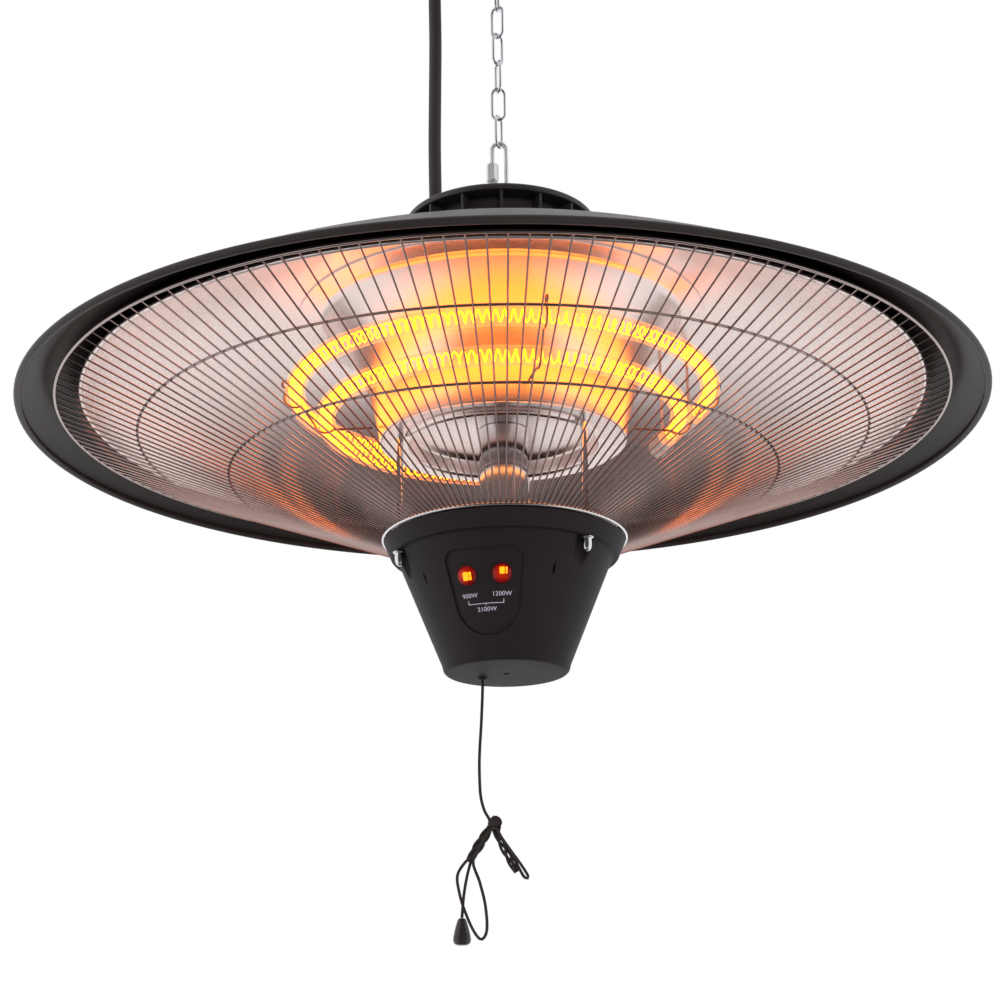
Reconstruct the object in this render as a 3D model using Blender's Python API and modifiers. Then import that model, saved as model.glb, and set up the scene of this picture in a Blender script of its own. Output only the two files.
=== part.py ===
"""Hanging halogen patio heater: a black domed shade hung from a chain, with two ring lamps under a
spun reflector, a conical wire guard and a control housing with a pull cord below.

Metres, +Z up. The origin is the middle of the ceiling plate's top face, and everything hangs below it.
The control panel faces -Y.
"""

import math

import bmesh
import bpy
from mathutils import Matrix, Vector

MM = 0.001

# Clearance between pieces that touch, and between a pin and its hole
GAP = 0.3 * MM

# Ceiling plate, hook and chain
PLATE_RADIUS = 58 * MM
PLATE_THICKNESS = 4 * MM
BOSS_RADIUS = 8 * MM
BOSS_DEPTH = 5.5 * MM
HOOK_WIRE = 4 * MM
HOOK_BEND = 7.5 * MM
HOOK_DROP = 28.7 * MM
LINK_WIRE = 2 * MM
LINK_WIDTH = 10.2 * MM
LINK_INNER = 20.5 * MM
LINK_TURNS = (90, -19, 59, -57, 14, 77)

# Quick link, its screw sleeve and the eye on the cap
QUICK_WIRE = 3 * MM
QUICK_HALF_WIDTH = 4.5 * MM
QUICK_LENGTH = 34 * MM
QUICK_TURN = 14
QUICK_OPENING = 5 * MM
QUICK_OPENING_MIDDLE = 12.5 * MM
SLEEVE_WIDTH = 7.2 * MM
SLEEVE_LENGTH = 12 * MM
SLEEVE_TRAVEL = 8 * MM
EYE_WIRE = 3 * MM
EYE_HALF_WIDTH = 5.5 * MM
EYE_RISE = 26.2 * MM
EYE_DEPTH = 8 * MM

# Vented cap on top of the shade
CAP_RADIUS = 61 * MM
CAP_HEIGHT = 27 * MM
CAP_EDGE = 5 * MM
CAP_WALL_RADIUS = 49 * MM
CAP_FOOT_RADIUS = 65 * MM
CAP_WALL = 3 * MM
VANE_COUNT = 15
VANE_THICKNESS = 2 * MM
VANE_START = -76

# Shade: a shallow spun dome with a rolled rim
SHADE_RADIUS = 300 * MM
SHADE_CURVE = 1680 * MM
SHADE_RIM_SLOPE = 29
SHADE_SHEET = 1.2 * MM
SHADE_BEAD = 2.4 * MM
SHADE_HOLE = 40 * MM

# Reflector: a dish above the lamps, with a flared bell and a pan in its middle
DISH_EDGE_GAP = 38 * MM
DISH_RISE = 8 * MM
DISH_HEADROOM = 10.7 * MM
DISH_SHEET = 1 * MM
DISH_BEAD = 1.6 * MM
DISH_SHOULDER_REACH = 57.95 * MM
DISH_SHOULDER_SHARE = 0.914
BELL_TOP_RADIUS = 113 * MM
BELL_FLANGE = 15 * MM
BELL_MOUTH_REACH = 10.5 * MM
BELL_MOUTH_DROP = -13.6 * MM
BELL_WAIST = 6 * MM
PAN_RING_DROP = -14.5 * MM
PAN_THROAT_INSET = 6 * MM
PAN_BEAD = 1.8 * MM
PAN_ROOF = -5.5 * MM
CARRIER_THICKNESS = 1.5 * MM
CARRIER_LAP = 3 * MM
TUBE_RADIUS = 9 * MM
TUBE_WALL = 1 * MM
POST_RADIUS = 15 * MM
POST_WALL = 1.2 * MM

# Ring lamps: quartz tubes with spiral filaments, between two angles round the axis
LAMP_TUBE_RADIUS = 6 * MM
LAMP_TUBE_WALL = 1 * MM
LAMP_SPACING = 19 * MM
OUTER_LAMP_HEIGHT = 18 * MM
INNER_LAMP_HEIGHT = 1 * MM
INNER_LAMP_INSET = 2 * MM
LAMP_START = -164
LAMP_END = 121
FILAMENT_RADIUS = 3 * MM
FILAMENT_WIRE = 1.2 * MM
OUTER_CURLS = 15
INNER_CURLS = 12
CERAMIC_LENGTH = 24 * MM
CERAMIC_RADIUS = 6.5 * MM
STRAP_WIDTH = 9 * MM
STRAP_SHEET = 1.2 * MM
SUPPORT_WIRE = 1.5 * MM
SUPPORT_ANGLES = (-76, 24, 108)

# Wire guard: a cone of straight wires on four rings
GUARD_EDGE_GAP = 24 * MM
GUARD_HEIGHT = 3.5 * MM
GUARD_FOOT_LAP = 0.6 * MM
GUARD_FOOT_HEIGHT = -77.4 * MM
GUARD_OUTER_WIRE = 3 * MM
GUARD_FOOT_WIRE = 2.6 * MM
GUARD_RING_WIRE = 2 * MM
GUARD_WIRE = 1.6 * MM
GUARD_MIDDLE_SHARES = (0.75, 0.471)
GUARD_WIRES = 40

# Control housing and what it holds
HOUSING_TOP_RADIUS = 74.2 * MM
HOUSING_LEDGE_INSET = 4.3 * MM
HOUSING_SHOULDER = 3.7 * MM
HOUSING_FOOT_RADIUS = 37.3 * MM
HOUSING_BAND = 10.2 * MM
HOUSING_HEIGHT = 82.5 * MM
HOUSING_CORNER = 4 * MM
HOUSING_WALL = 2.5 * MM
LID_THICKNESS = 1.5 * MM
BOLT_INSET = 7.7 * MM
BOLT_ANGLES = (-60, 60, 180)
BOLT_RADIUS = 2 * MM
BOLT_HEAD_WIDTH = 6.2 * MM
BOLT_HEAD_HEIGHT = 2.8 * MM
POCKET_RADIUS = 7.5 * MM
LEDGE_THICKNESS = 3 * MM
NUT_HEIGHT = 9 * MM
NUT_WIDTH = 7 * MM
NUT_GRIP = 5 * MM
PANEL_WIDTH = 48 * MM
PANEL_HEIGHT = 52 * MM
PANEL_TOP_DROP = 20.5 * MM
PANEL_DEPTH = 0.8 * MM
LAMP_PITCH_ANGLE = 22
LAMP_DROP = 35 * MM
LENS_RADIUS = 6 * MM
LENS_PROUD = 2.6 * MM
LENS_BARREL = 4.8 * MM
LENS_LENGTH = 15 * MM
SLOT_ANGLES = (-43, 43)
SLOT_DROP = 31 * MM
SLOT_HEIGHT = 8 * MM
SLOT_WIDTH = 1.8 * MM
TERMINAL_SIZE = (32 * MM, 17 * MM, 13 * MM)
TERMINAL_PLACE = (24 * MM, 26 * MM)
SWITCH_SIZE = (20 * MM, 15 * MM, 30 * MM)
SWITCH_BORE = 3.2 * MM
SWITCH_BORE_DEPTH = 22 * MM
PLUNGER_LENGTH = 6 * MM
PULL_TRAVEL = 8 * MM
BUSH_RADIUS = 2.6 * MM
BUSH_FLANGE = 3.2 * MM
BUSH_PROUD = 1.6 * MM

# Cords: the supply cable and the pull cord, at the places where each leaves its fitting
CABLE_RADIUS = 4.15 * MM
CABLE_PLACE = -43 * MM
RELIEF_RADIUS = 7.5 * MM
RELIEF_LENGTH = 20.5 * MM
PULL_CORD_RADIUS = 0.9 * MM
PULL_PLACE = (-16.6 * MM, 6.4 * MM)
TOGGLE_LENGTH = 16 * MM
TOGGLE_RADIUS = 5.4 * MM
TOGGLE_NECK = 2.6 * MM

# Heights that follow from the sizes above, from the ceiling down
HOOK_Z = -HOOK_DROP
FIRST_LINK_Z = HOOK_Z + HOOK_WIRE / 2 + LINK_WIRE / 2 + GAP
LINK_LENGTH = LINK_INNER + LINK_WIRE
LINK_STEP = LINK_INNER - GAP
LINK_BOTTOM_Z = FIRST_LINK_Z - LINK_LENGTH
LAST_LINK_Z = LINK_BOTTOM_Z - (len(LINK_TURNS) - 1) * LINK_STEP
QUICK_Z = LAST_LINK_Z + LINK_WIRE / 2 + QUICK_WIRE / 2 + GAP
EYE_Z = QUICK_Z - QUICK_LENGTH + QUICK_WIRE / 2 + EYE_WIRE / 2 + GAP
CAP_Z = EYE_Z - EYE_RISE
RIM_SINE = math.sin(math.radians(SHADE_RIM_SLOPE))


def dome_height(radius):
    """Height of the shade's outer face over its rim, at this radius."""
    sine = RIM_SINE - (SHADE_RADIUS - SHADE_BEAD - radius) / SHADE_CURVE
    return SHADE_CURVE * (math.sqrt(1 - sine * sine) - math.sqrt(1 - RIM_SINE * RIM_SINE))


# Radii that follow from the housing's top: its ledge, the bolts in it, and what they and the guard stand on
HOUSING_LEDGE_RADIUS = HOUSING_TOP_RADIUS - HOUSING_LEDGE_INSET
GUARD_FOOT_RADIUS = HOUSING_TOP_RADIUS + GUARD_FOOT_LAP
BOLT_CIRCLE = HOUSING_TOP_RADIUS - BOLT_INSET
BELL_MOUTH_RADIUS = BOLT_CIRCLE + BELL_MOUTH_REACH
PAN_THROAT_RADIUS = BOLT_CIRCLE - PAN_THROAT_INSET

# Radii and the reflector's height that follow from the shade and the bell
DISH_RADIUS = SHADE_RADIUS - DISH_EDGE_GAP
GUARD_RADIUS = SHADE_RADIUS - GUARD_EDGE_GAP
BELL_FLANGE_RADIUS = BELL_TOP_RADIUS + BELL_FLANGE
DISH_FLAT_INNER = BELL_FLANGE_RADIUS - 12 * DISH_SHEET
CARRIER_RADIUS = BELL_FLANGE_RADIUS + CARRIER_LAP
DISH_FLAT_OUTER = CARRIER_RADIUS + DISH_SHEET
DISH_TOP = dome_height(CARRIER_RADIUS) - DISH_HEADROOM
INNER_LAMP_RADIUS = BELL_TOP_RADIUS - INNER_LAMP_INSET
OUTER_LAMP_RADIUS = INNER_LAMP_RADIUS + LAMP_SPACING
GUARD_SPAN = GUARD_RADIUS - GUARD_FOOT_RADIUS
GUARD_MIDDLE_RADII = [GUARD_FOOT_RADIUS + share * GUARD_SPAN for share in GUARD_MIDDLE_SHARES]

RIM_Z = CAP_Z - CAP_HEIGHT - GAP - SHADE_BEAD - dome_height(CAP_FOOT_RADIUS)
HOUSING_Z = RIM_Z + GUARD_FOOT_HEIGHT - GUARD_FOOT_WIRE / 2 - GAP
LID_Z = HOUSING_Z + GAP
LEDGE_Z = HOUSING_Z - HOUSING_BAND
FLOOR_Z = HOUSING_Z - HOUSING_HEIGHT
PAN_Z = RIM_Z + PAN_RING_DROP
DISH_Z = RIM_Z + DISH_TOP

# Every moving body hangs from an empty on its joint
BODY_PLACES = {
    "ceiling": Vector((0, 0, 0)),
    "top_link": Vector((0, 0, HOOK_Z)),
    "heater": Vector((0, 0, LINK_BOTTOM_Z)),
    "sleeve": Vector((0, 0, QUICK_Z)),
    "pull": Vector((PULL_PLACE[0], PULL_PLACE[1], FLOOR_Z)),
}


def clear_scene():
    for obj in list(bpy.data.objects):
        bpy.data.objects.remove(obj, do_unlink=True)


def new_collection(name):
    collection = bpy.data.collections.new(name)
    bpy.context.scene.collection.children.link(collection)
    return collection


def finish(name, colour, roughness, metallic, glow=0.0, alpha=1.0):
    made = bpy.data.materials.new(name)
    made.use_nodes = True
    shader = made.node_tree.nodes["Principled BSDF"]
    shader.inputs["Base Color"].default_value = (*colour, 1)
    shader.inputs["Roughness"].default_value = roughness
    shader.inputs["Metallic"].default_value = metallic
    shader.inputs["Alpha"].default_value = alpha
    if glow:
        shader.inputs["Emission Color"].default_value = (*colour, 1)
        shader.inputs["Emission Strength"].default_value = glow
    return made


def black_paint():
    return finish("black_paint", (0.035, 0.032, 0.033), 0.45, 0.0)


def black_plastic():
    return finish("black_plastic", (0.025, 0.024, 0.025), 0.5, 0.0)


def polished_aluminium():
    return finish("polished_aluminium", (0.86, 0.84, 0.84), 0.12, 1.0)


def chrome():
    return finish("chrome", (0.75, 0.75, 0.76), 0.12, 1.0)


def zinc():
    return finish("zinc", (0.66, 0.67, 0.70), 0.3, 1.0)


def ceramic():
    return finish("ceramic", (0.90, 0.87, 0.83), 0.6, 0.0)


def quartz():
    return finish("quartz", (1.0, 0.86, 0.78), 0.05, 0.0, alpha=0.35)


def hot_wire():
    return finish("hot_wire", (1.0, 0.78, 0.05), 0.6, 0.0, glow=2.0)


def red_lens():
    return finish("red_lens", (0.85, 0.05, 0.01), 0.15, 0.0, glow=0.6)


def rubber():
    return finish("rubber", (0.02, 0.018, 0.018), 0.7, 0.0)


def cord_black():
    return finish("cord_black", (0.045, 0.036, 0.036), 0.8, 0.0)


def switch_plastic():
    return finish("switch_plastic", (0.80, 0.79, 0.75), 0.5, 0.0)


def add_body_empties(parts):
    """One empty on each joint, each under the empty of the body that carries it."""
    empties = {}
    carriers = {"ceiling": None, "top_link": "ceiling", "heater": "top_link"}
    carriers.update({"sleeve": "heater", "pull": "heater"})
    for body, carrier in carriers.items():
        empty = bpy.data.objects.new(body + "_joint", None)
        empty.empty_display_size = 0.02
        parts.objects.link(empty)
        empty.location = BODY_PLACES[body]
        if carrier:
            empty.parent = empties[carrier]
            empty.location = BODY_PLACES[body] - BODY_PLACES[carrier]
        empties[body] = empty
    return empties


def place(obj, location, body):
    """Hangs a piece on its body's empty, with its origin at a place given in the part's frame."""
    obj.parent = EMPTIES[body]
    obj.location = Vector(location) - BODY_PLACES[body]


def part(name, data, coat, location, body):
    obj = bpy.data.objects.new(name, data)
    PARTS.objects.link(obj)
    obj.data.materials.append(coat)
    place(obj, location, body)
    return obj


def guide(name, data, location=(0, 0, 0)):
    """A cutter, or a shape to be joined to a piece, that isn't a piece itself."""
    obj = bpy.data.objects.new(name, data)
    CUTTERS.objects.link(obj)
    obj.location = location
    obj.hide_render = True
    obj.display_type = "WIRE"
    return obj


def smooth(mesh, sharp=35):
    mesh.shade_smooth()
    mesh.set_sharp_from_angle(angle=math.radians(sharp))


def profile_mesh(name, points, closed):
    """An outline in the XZ plane, given as (radius, height) down its outer side first."""
    mesh = bpy.data.meshes.new(name)
    count = len(points)
    edges = [(i, i + 1) for i in range(count - 1)]
    if closed:
        edges.append((count - 1, 0))
    mesh.from_pydata([(r, 0, z) for r, z in points], edges, [])
    return mesh


def turn(obj, steps):
    screw = obj.modifiers.new("turn", "SCREW")
    screw.steps = steps
    screw.render_steps = steps
    screw.use_merge_vertices = True
    screw.merge_threshold = 0.00001
    screw.use_smooth_shade = True


def turned(name, points, steps, coat, location, body, closed=True):
    obj = part(name, profile_mesh(name, points, closed), coat, location, body)
    turn(obj, steps)
    return obj


def turned_guide(name, points, steps, location, closed=False):
    obj = guide(name, profile_mesh(name, points, closed), location)
    turn(obj, steps)
    return obj


def cone_mesh(name, radius, depth, sides, top_radius=None, slant=Matrix.Identity(4)):
    mesh = bpy.data.meshes.new(name)
    shape = bmesh.new()
    bmesh.ops.create_cone(
        shape,
        cap_ends=True,
        segments=sides,
        radius1=radius,
        radius2=radius if top_radius is None else top_radius,
        depth=depth,
        matrix=slant,
    )
    shape.to_mesh(mesh)
    shape.free()
    smooth(mesh)
    return mesh


def box_mesh(name, size, rounding=0.0):
    mesh = bpy.data.meshes.new(name)
    shape = bmesh.new()
    bmesh.ops.create_cube(shape, size=1, matrix=Matrix.Diagonal((*size, 1)))
    if rounding:
        bmesh.ops.bevel(
            shape,
            geom=list(shape.edges),
            offset=rounding,
            segments=1,
            affect="EDGES",
        )
    shape.to_mesh(mesh)
    shape.free()
    return mesh


def wire_curve(name, points, radius, cyclic=False, resolution=1):
    curve = bpy.data.curves.new(name, "CURVE")
    curve.dimensions = "3D"
    curve.bevel_depth = radius
    curve.bevel_resolution = resolution
    curve.use_fill_caps = not cyclic
    spline = curve.splines.new("POLY")
    spline.points.add(len(points) - 1)
    for vertex, point in zip(spline.points, points):
        vertex.co = (*point, 1)
    spline.use_cyclic_u = cyclic
    return curve


def wire(name, points, radius, coat, location, body, cyclic=False, resolution=1):
    curve = wire_curve(name, points, radius, cyclic, resolution)
    return part(name, curve, coat, location, body)


def meshed(obj):
    """The mesh of a curve object, welded at its caps, with the curve removed."""
    bpy.context.view_layer.update()
    evaluated = obj.evaluated_get(bpy.context.evaluated_depsgraph_get())
    mesh = bpy.data.meshes.new_from_object(evaluated)
    shape = bmesh.new()
    shape.from_mesh(mesh)
    bmesh.ops.remove_doubles(shape, verts=list(shape.verts), dist=0.000001)
    shape.to_mesh(mesh)
    shape.free()
    curve = obj.data
    bpy.data.objects.remove(obj, do_unlink=True)
    bpy.data.curves.remove(curve)
    return mesh


def combine(obj, other, operation="DIFFERENCE"):
    boolean = obj.modifiers.new(other.name, "BOOLEAN")
    boolean.operation = operation
    boolean.solver = "EXACT"
    boolean.object = other


def around(radius, degrees, height=0.0):
    """A point at this angle round the axis, where 0 is the front and 90 is to the right."""
    angle = math.radians(degrees)
    return Vector((radius * math.sin(angle), -radius * math.cos(angle), height))


def arc(centre, radius, start, end, count):
    """(across, up) points along an arc, in degrees from the across axis."""
    points = []
    for i in range(count):
        angle = math.radians(start + (end - start) * i / (count - 1))
        points.append((centre[0] + radius * math.cos(angle), centre[1] + radius * math.sin(angle)))
    return points


def bezier(first, pull, last, count):
    points = []
    for i in range(count):
        t = i / (count - 1)
        weights = ((1 - t) ** 2, 2 * t * (1 - t), t * t)
        across = weights[0] * first[0] + weights[1] * pull[0] + weights[2] * last[0]
        up = weights[0] * first[1] + weights[1] * pull[1] + weights[2] * last[1]
        points.append((across, up))
    return points


def sheet_profile(line, thickness):
    """A closed outline of a sheet whose outer face follows a line that runs down and outwards."""
    under = []
    for i, (across, up) in enumerate(line):
        before = line[max(i - 1, 0)]
        after = line[min(i + 1, len(line) - 1)]
        run = Vector((after[0] - before[0], after[1] - before[1])).normalized()
        under.append((across + run.y * thickness, up - run.x * thickness))
    return list(line) + under[::-1]


def in_plane(points, turn_degrees):
    """Stands (across, up) points in a vertical plane turned about Z from the XZ plane."""
    angle = math.radians(turn_degrees)
    return [(u * math.cos(angle), u * math.sin(angle), v) for u, v in points]


def add_ceiling_plate():
    bore = HOOK_WIRE / 2 + GAP
    soffit = -PLATE_THICKNESS
    boss = -PLATE_THICKNESS - BOSS_DEPTH
    points = [
        (0, 0),
        (PLATE_RADIUS - 1.5 * MM, 0),
        (PLATE_RADIUS, -1.5 * MM),
        (PLATE_RADIUS, soffit),
        (BOSS_RADIUS, soffit),
        (BOSS_RADIUS, boss),
        (bore, boss),
        (bore, soffit),
        (0, soffit),
    ]
    turned("ceiling_plate", points, 28, zinc(), (0, 0, 0), "ceiling", closed=False)


def add_ceiling_hook():
    middle = (0, HOOK_Z + HOOK_BEND)
    shank_top = -PLATE_THICKNESS - GAP
    neck = middle[1] + 1.35 * HOOK_BEND
    points = [(0, shank_top), (0, neck)]
    points += arc(middle, HOOK_BEND, 55, -200, 18)
    wire("ceiling_hook", in_plane(points, 0), HOOK_WIRE / 2, zinc(), (0, 0, 0), "ceiling")


def link_points():
    """Middle line of a chain link that hangs from the origin."""
    bend = (LINK_WIDTH - LINK_WIRE) / 2
    top = arc((0, -bend), bend, 0, 180, 7)
    bottom = arc((0, -LINK_LENGTH + bend), bend, 180, 360, 7)
    return top + bottom


def add_chain():
    for i, turn_degrees in enumerate(LINK_TURNS):
        points = in_plane(link_points(), turn_degrees)
        body = "top_link" if i == 0 else "heater"
        height = FIRST_LINK_Z - i * LINK_STEP
        name = "chain_link_" + str(i + 1)
        wire(name, points, LINK_WIRE / 2, zinc(), (0, 0, height), body, cyclic=True)


def add_quick_link():
    """An open wire loop whose opening in the left leg is bridged by a hexagonal sleeve."""
    half = QUICK_HALF_WIDTH
    foot = -QUICK_LENGTH
    low_end = foot + QUICK_OPENING_MIDDLE - QUICK_OPENING / 2
    high_end = low_end + QUICK_OPENING
    points = [(-half, high_end)]
    points += arc((0, -half), half, 180, 0, 7)
    points += arc((0, foot + half), half, 0, -180, 7)
    points += [(-half, low_end)]
    place_at = (0, 0, QUICK_Z)
    coat = zinc()
    wire("quick_link", in_plane(points, QUICK_TURN), QUICK_WIRE / 2, coat, place_at, "heater")
    across = SLEEVE_WIDTH / math.sqrt(3)
    middle = in_plane([(-half, (low_end + high_end) / 2)], QUICK_TURN)[0]
    height = QUICK_Z + middle[2]
    mesh = cone_mesh("quick_link_sleeve", across, SLEEVE_LENGTH, 6)
    sleeve = part("quick_link_sleeve", mesh, zinc(), (middle[0], middle[1], height), "sleeve")
    bore = cone_mesh("sleeve_bore", QUICK_WIRE / 2 + GAP, SLEEVE_LENGTH * 2, 12)
    combine(sleeve, guide("sleeve_bore", bore, (middle[0], middle[1], height)))


def add_eye():
    """A U bolt that stands across the quick link, with its legs through the cap."""
    half = EYE_HALF_WIDTH
    foot = -EYE_RISE - EYE_DEPTH
    points = [(half, foot)] + arc((0, -half), half, 0, 180, 9) + [(-half, foot)]
    turn_degrees = QUICK_TURN + 90
    wire("hanging_eye", in_plane(points, turn_degrees), EYE_WIRE / 2, zinc(), (0, 0, EYE_Z), "heater")
    return in_plane([(half, 0), (-half, 0)], turn_degrees)


def add_cap(eye_legs):
    """A moulded cap: a disc over a ring of upright vanes, with open vents between them."""
    foot_in = CAP_FOOT_RADIUS - 2 * CAP_WALL
    foot_rise = dome_height(foot_in) - dome_height(CAP_FOOT_RADIUS)
    wall_foot = -CAP_HEIGHT + 3 * CAP_WALL
    points = [
        (0, 0),
        (CAP_RADIUS - 3 * MM, -0.5 * MM),
        (CAP_RADIUS, -2 * MM),
        (CAP_RADIUS, -CAP_EDGE),
        (CAP_WALL_RADIUS, -CAP_EDGE - 1 * MM),
        (CAP_WALL_RADIUS, wall_foot + CAP_WALL),
        (CAP_FOOT_RADIUS, -CAP_HEIGHT + CAP_WALL),
        (CAP_FOOT_RADIUS, -CAP_HEIGHT),
        (foot_in, -CAP_HEIGHT + foot_rise),
        (CAP_WALL_RADIUS - CAP_WALL, wall_foot),
        (CAP_WALL_RADIUS - CAP_WALL, -CAP_EDGE),
        (0, -CAP_EDGE),
    ]
    cap = turned("top_cap", points, 32, black_plastic(), (0, 0, CAP_Z), "heater", closed=False)
    inner = CAP_WALL_RADIUS - 1 * MM
    outer = CAP_RADIUS - 1 * MM
    top = -CAP_EDGE + 1 * MM
    slope = CAP_FOOT_RADIUS - CAP_WALL_RADIUS
    fall = -CAP_HEIGHT - wall_foot
    outline = [
        (inner, top),
        (inner, wall_foot + CAP_WALL / 2),
        (outer, wall_foot + CAP_WALL / 2 + fall * (outer - inner) / slope),
        (outer, top),
    ]
    vane = plate_mesh("vane", outline, VANE_THICKNESS)
    upright = Matrix.Rotation(math.pi / 2, 4, "X")
    vanes = bmesh.new()
    for i in range(VANE_COUNT):
        turned_to = Matrix.Rotation(math.radians(VANE_START + 360 * i / VANE_COUNT), 4, "Z")
        copy = vane.copy()
        copy.transform(turned_to @ upright)
        vanes.from_mesh(copy)
        bpy.data.meshes.remove(copy)
    mesh = bpy.data.meshes.new("cap_vanes")
    vanes.to_mesh(mesh)
    vanes.free()
    combine(cap, guide("cap_vanes", mesh, (0, 0, CAP_Z)), "UNION")
    for i, leg in enumerate(eye_legs):
        hole = cone_mesh("eye_hole", EYE_WIRE / 2 + GAP, CAP_EDGE * 4, 10)
        combine(cap, guide("eye_hole_" + str(i), hole, (leg[0], leg[1], CAP_Z)))


def add_shade():
    inner_edge = SHADE_HOLE
    outer_edge = SHADE_RADIUS - SHADE_BEAD
    steps = 4
    line = []
    for i in range(steps + 1):
        radius = inner_edge + (outer_edge - inner_edge) * i / steps
        line.append((radius, SHADE_BEAD + dome_height(radius)))
    outline = sheet_profile(line, SHADE_SHEET)
    under = outline[len(line):]
    bead = arc((outer_edge, 0), SHADE_BEAD, 62, -150, 5)
    points = line[:-1] + bead + under[1:]
    turned("shade", points, 44, black_paint(), (0, 0, RIM_Z), "heater")


def add_reflector():
    """The dish: a flat ring at its top, then a bowl out to a rolled edge."""
    flat = [(DISH_FLAT_INNER, DISH_TOP), (DISH_FLAT_OUTER - 8 * MM, DISH_TOP)]
    pull = (DISH_FLAT_OUTER + DISH_SHOULDER_REACH, DISH_TOP * DISH_SHOULDER_SHARE)
    edge = (DISH_RADIUS - DISH_BEAD, DISH_RISE + DISH_BEAD)
    bowl = bezier((DISH_FLAT_OUTER, DISH_TOP - 0.3 * MM), pull, edge, 5)
    line = flat + bowl
    outline = sheet_profile(line, DISH_SHEET)
    under = outline[len(line):]
    bead = arc((edge[0], edge[1] - DISH_BEAD), DISH_BEAD, 60, -160, 4)
    points = line[:-1] + bead + under[1:]
    turned("reflector", points, 32, polished_aluminium(), (0, 0, RIM_Z), "heater")


def bell_line():
    """Outer face of the bell: it faces the lamps and widens towards the top."""
    top = DISH_TOP - DISH_SHEET - GAP
    pull = (BELL_MOUTH_RADIUS + BELL_WAIST, top / 2)
    return bezier((BELL_TOP_RADIUS, top - 1.5 * MM), pull, (BELL_MOUTH_RADIUS, BELL_MOUTH_DROP), 5)


def add_bell():
    top = DISH_TOP - DISH_SHEET - GAP
    line = bell_line()
    inside = [(r - DISH_SHEET, z) for r, z in line]
    points = [(BELL_FLANGE_RADIUS, top), (BELL_FLANGE_RADIUS, top - DISH_SHEET)]
    points += [(BELL_TOP_RADIUS + 2 * MM, top - DISH_SHEET)] + line + inside[::-1]
    points += [(BELL_TOP_RADIUS - DISH_SHEET, top)]
    turned("inner_bell", points, 32, polished_aluminium(), (0, 0, RIM_Z), "heater")


def add_pan():
    """The pan that closes the bell's mouth: a flat ring, a rolled throat and a shallow round recess."""
    brim = BELL_MOUTH_RADIUS - DISH_SHEET - GAP
    sheet = DISH_SHEET
    throat = PAN_THROAT_RADIUS
    roof = PAN_ROOF - PAN_RING_DROP
    hole = TUBE_RADIUS + GAP
    points = [
        (hole, roof + sheet),
        (throat - 4.5 * MM, roof + sheet),
        (throat - 1.4 * MM, roof - 2.7 * MM),
        (throat + PAN_BEAD, sheet),
        (brim, sheet),
        (brim, 0),
        (throat + PAN_BEAD, 0),
    ]
    points += arc((throat, 0), PAN_BEAD, 0, -180, 4)[1:]
    points += [
        (throat - PAN_BEAD, 3 * MM),
        (throat - 2.6 * MM, roof - 3 * MM),
        (throat - 5 * MM, roof),
        (hole, roof),
    ]
    pan = turned("inner_pan", points, 32, polished_aluminium(), (0, 0, PAN_Z), "heater")
    for i, degrees in enumerate(BOLT_ANGLES):
        hole_mesh = cone_mesh("pan_hole", BOLT_RADIUS + GAP, 8 * sheet, 10)
        combine(pan, guide("pan_hole_" + str(i), hole_mesh, around(BOLT_CIRCLE, degrees, PAN_Z)))


def add_carrier_and_tubes():
    """The carrier plate over the reflector, the wiring tube in the middle and the chromed post round it."""
    hole = TUBE_RADIUS + GAP
    height = DISH_Z + GAP + CARRIER_THICKNESS
    points = [
        (hole, 0),
        (CARRIER_RADIUS, 0),
        (CARRIER_RADIUS, -CARRIER_THICKNESS),
        (hole, -CARRIER_THICKNESS),
    ]
    turned("carrier_plate", points, 28, zinc(), (0, 0, height), "heater")
    top = CAP_Z - CAP_EDGE - GAP
    foot = LID_Z + LID_THICKNESS + GAP
    bore = TUBE_RADIUS - TUBE_WALL
    points = [(TUBE_RADIUS, top - foot), (TUBE_RADIUS, 0), (bore, 0), (bore, top - foot)]
    turned("wiring_tube", points, 20, zinc(), (0, 0, foot), "heater")
    rise = RIM_Z + PAN_ROOF - GAP - foot
    bore = POST_RADIUS - POST_WALL
    points = [(POST_RADIUS, rise), (POST_RADIUS, 0), (bore, 0), (bore, rise)]
    turned("centre_post", points, 28, chrome(), (0, 0, foot), "heater")


def ring_points(radius, start, end, count):
    return [around(radius, start + (end - start) * i / (count - 1)) for i in range(count)]


def helix_points(radius, start, end, curls):
    """A filament that curls round the middle line of its ring, eight points a curl."""
    count = curls * 8
    points = []
    for i in range(count + 1):
        degrees = start + (end - start) * i / count
        curl = 2 * math.pi * i / 8
        out = FILAMENT_RADIUS * math.cos(curl)
        up = FILAMENT_RADIUS * math.sin(curl)
        points.append(around(radius + out, degrees, up))
    return points


def least_gap(points, diameter, skip):
    """Least distance between faces of two stretches of one tube that are over skip points apart."""
    least = math.inf
    for i, first in enumerate(points):
        for second in points[i + skip:]:
            least = min(least, (Vector(first) - Vector(second)).length)
    return least - diameter


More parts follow.
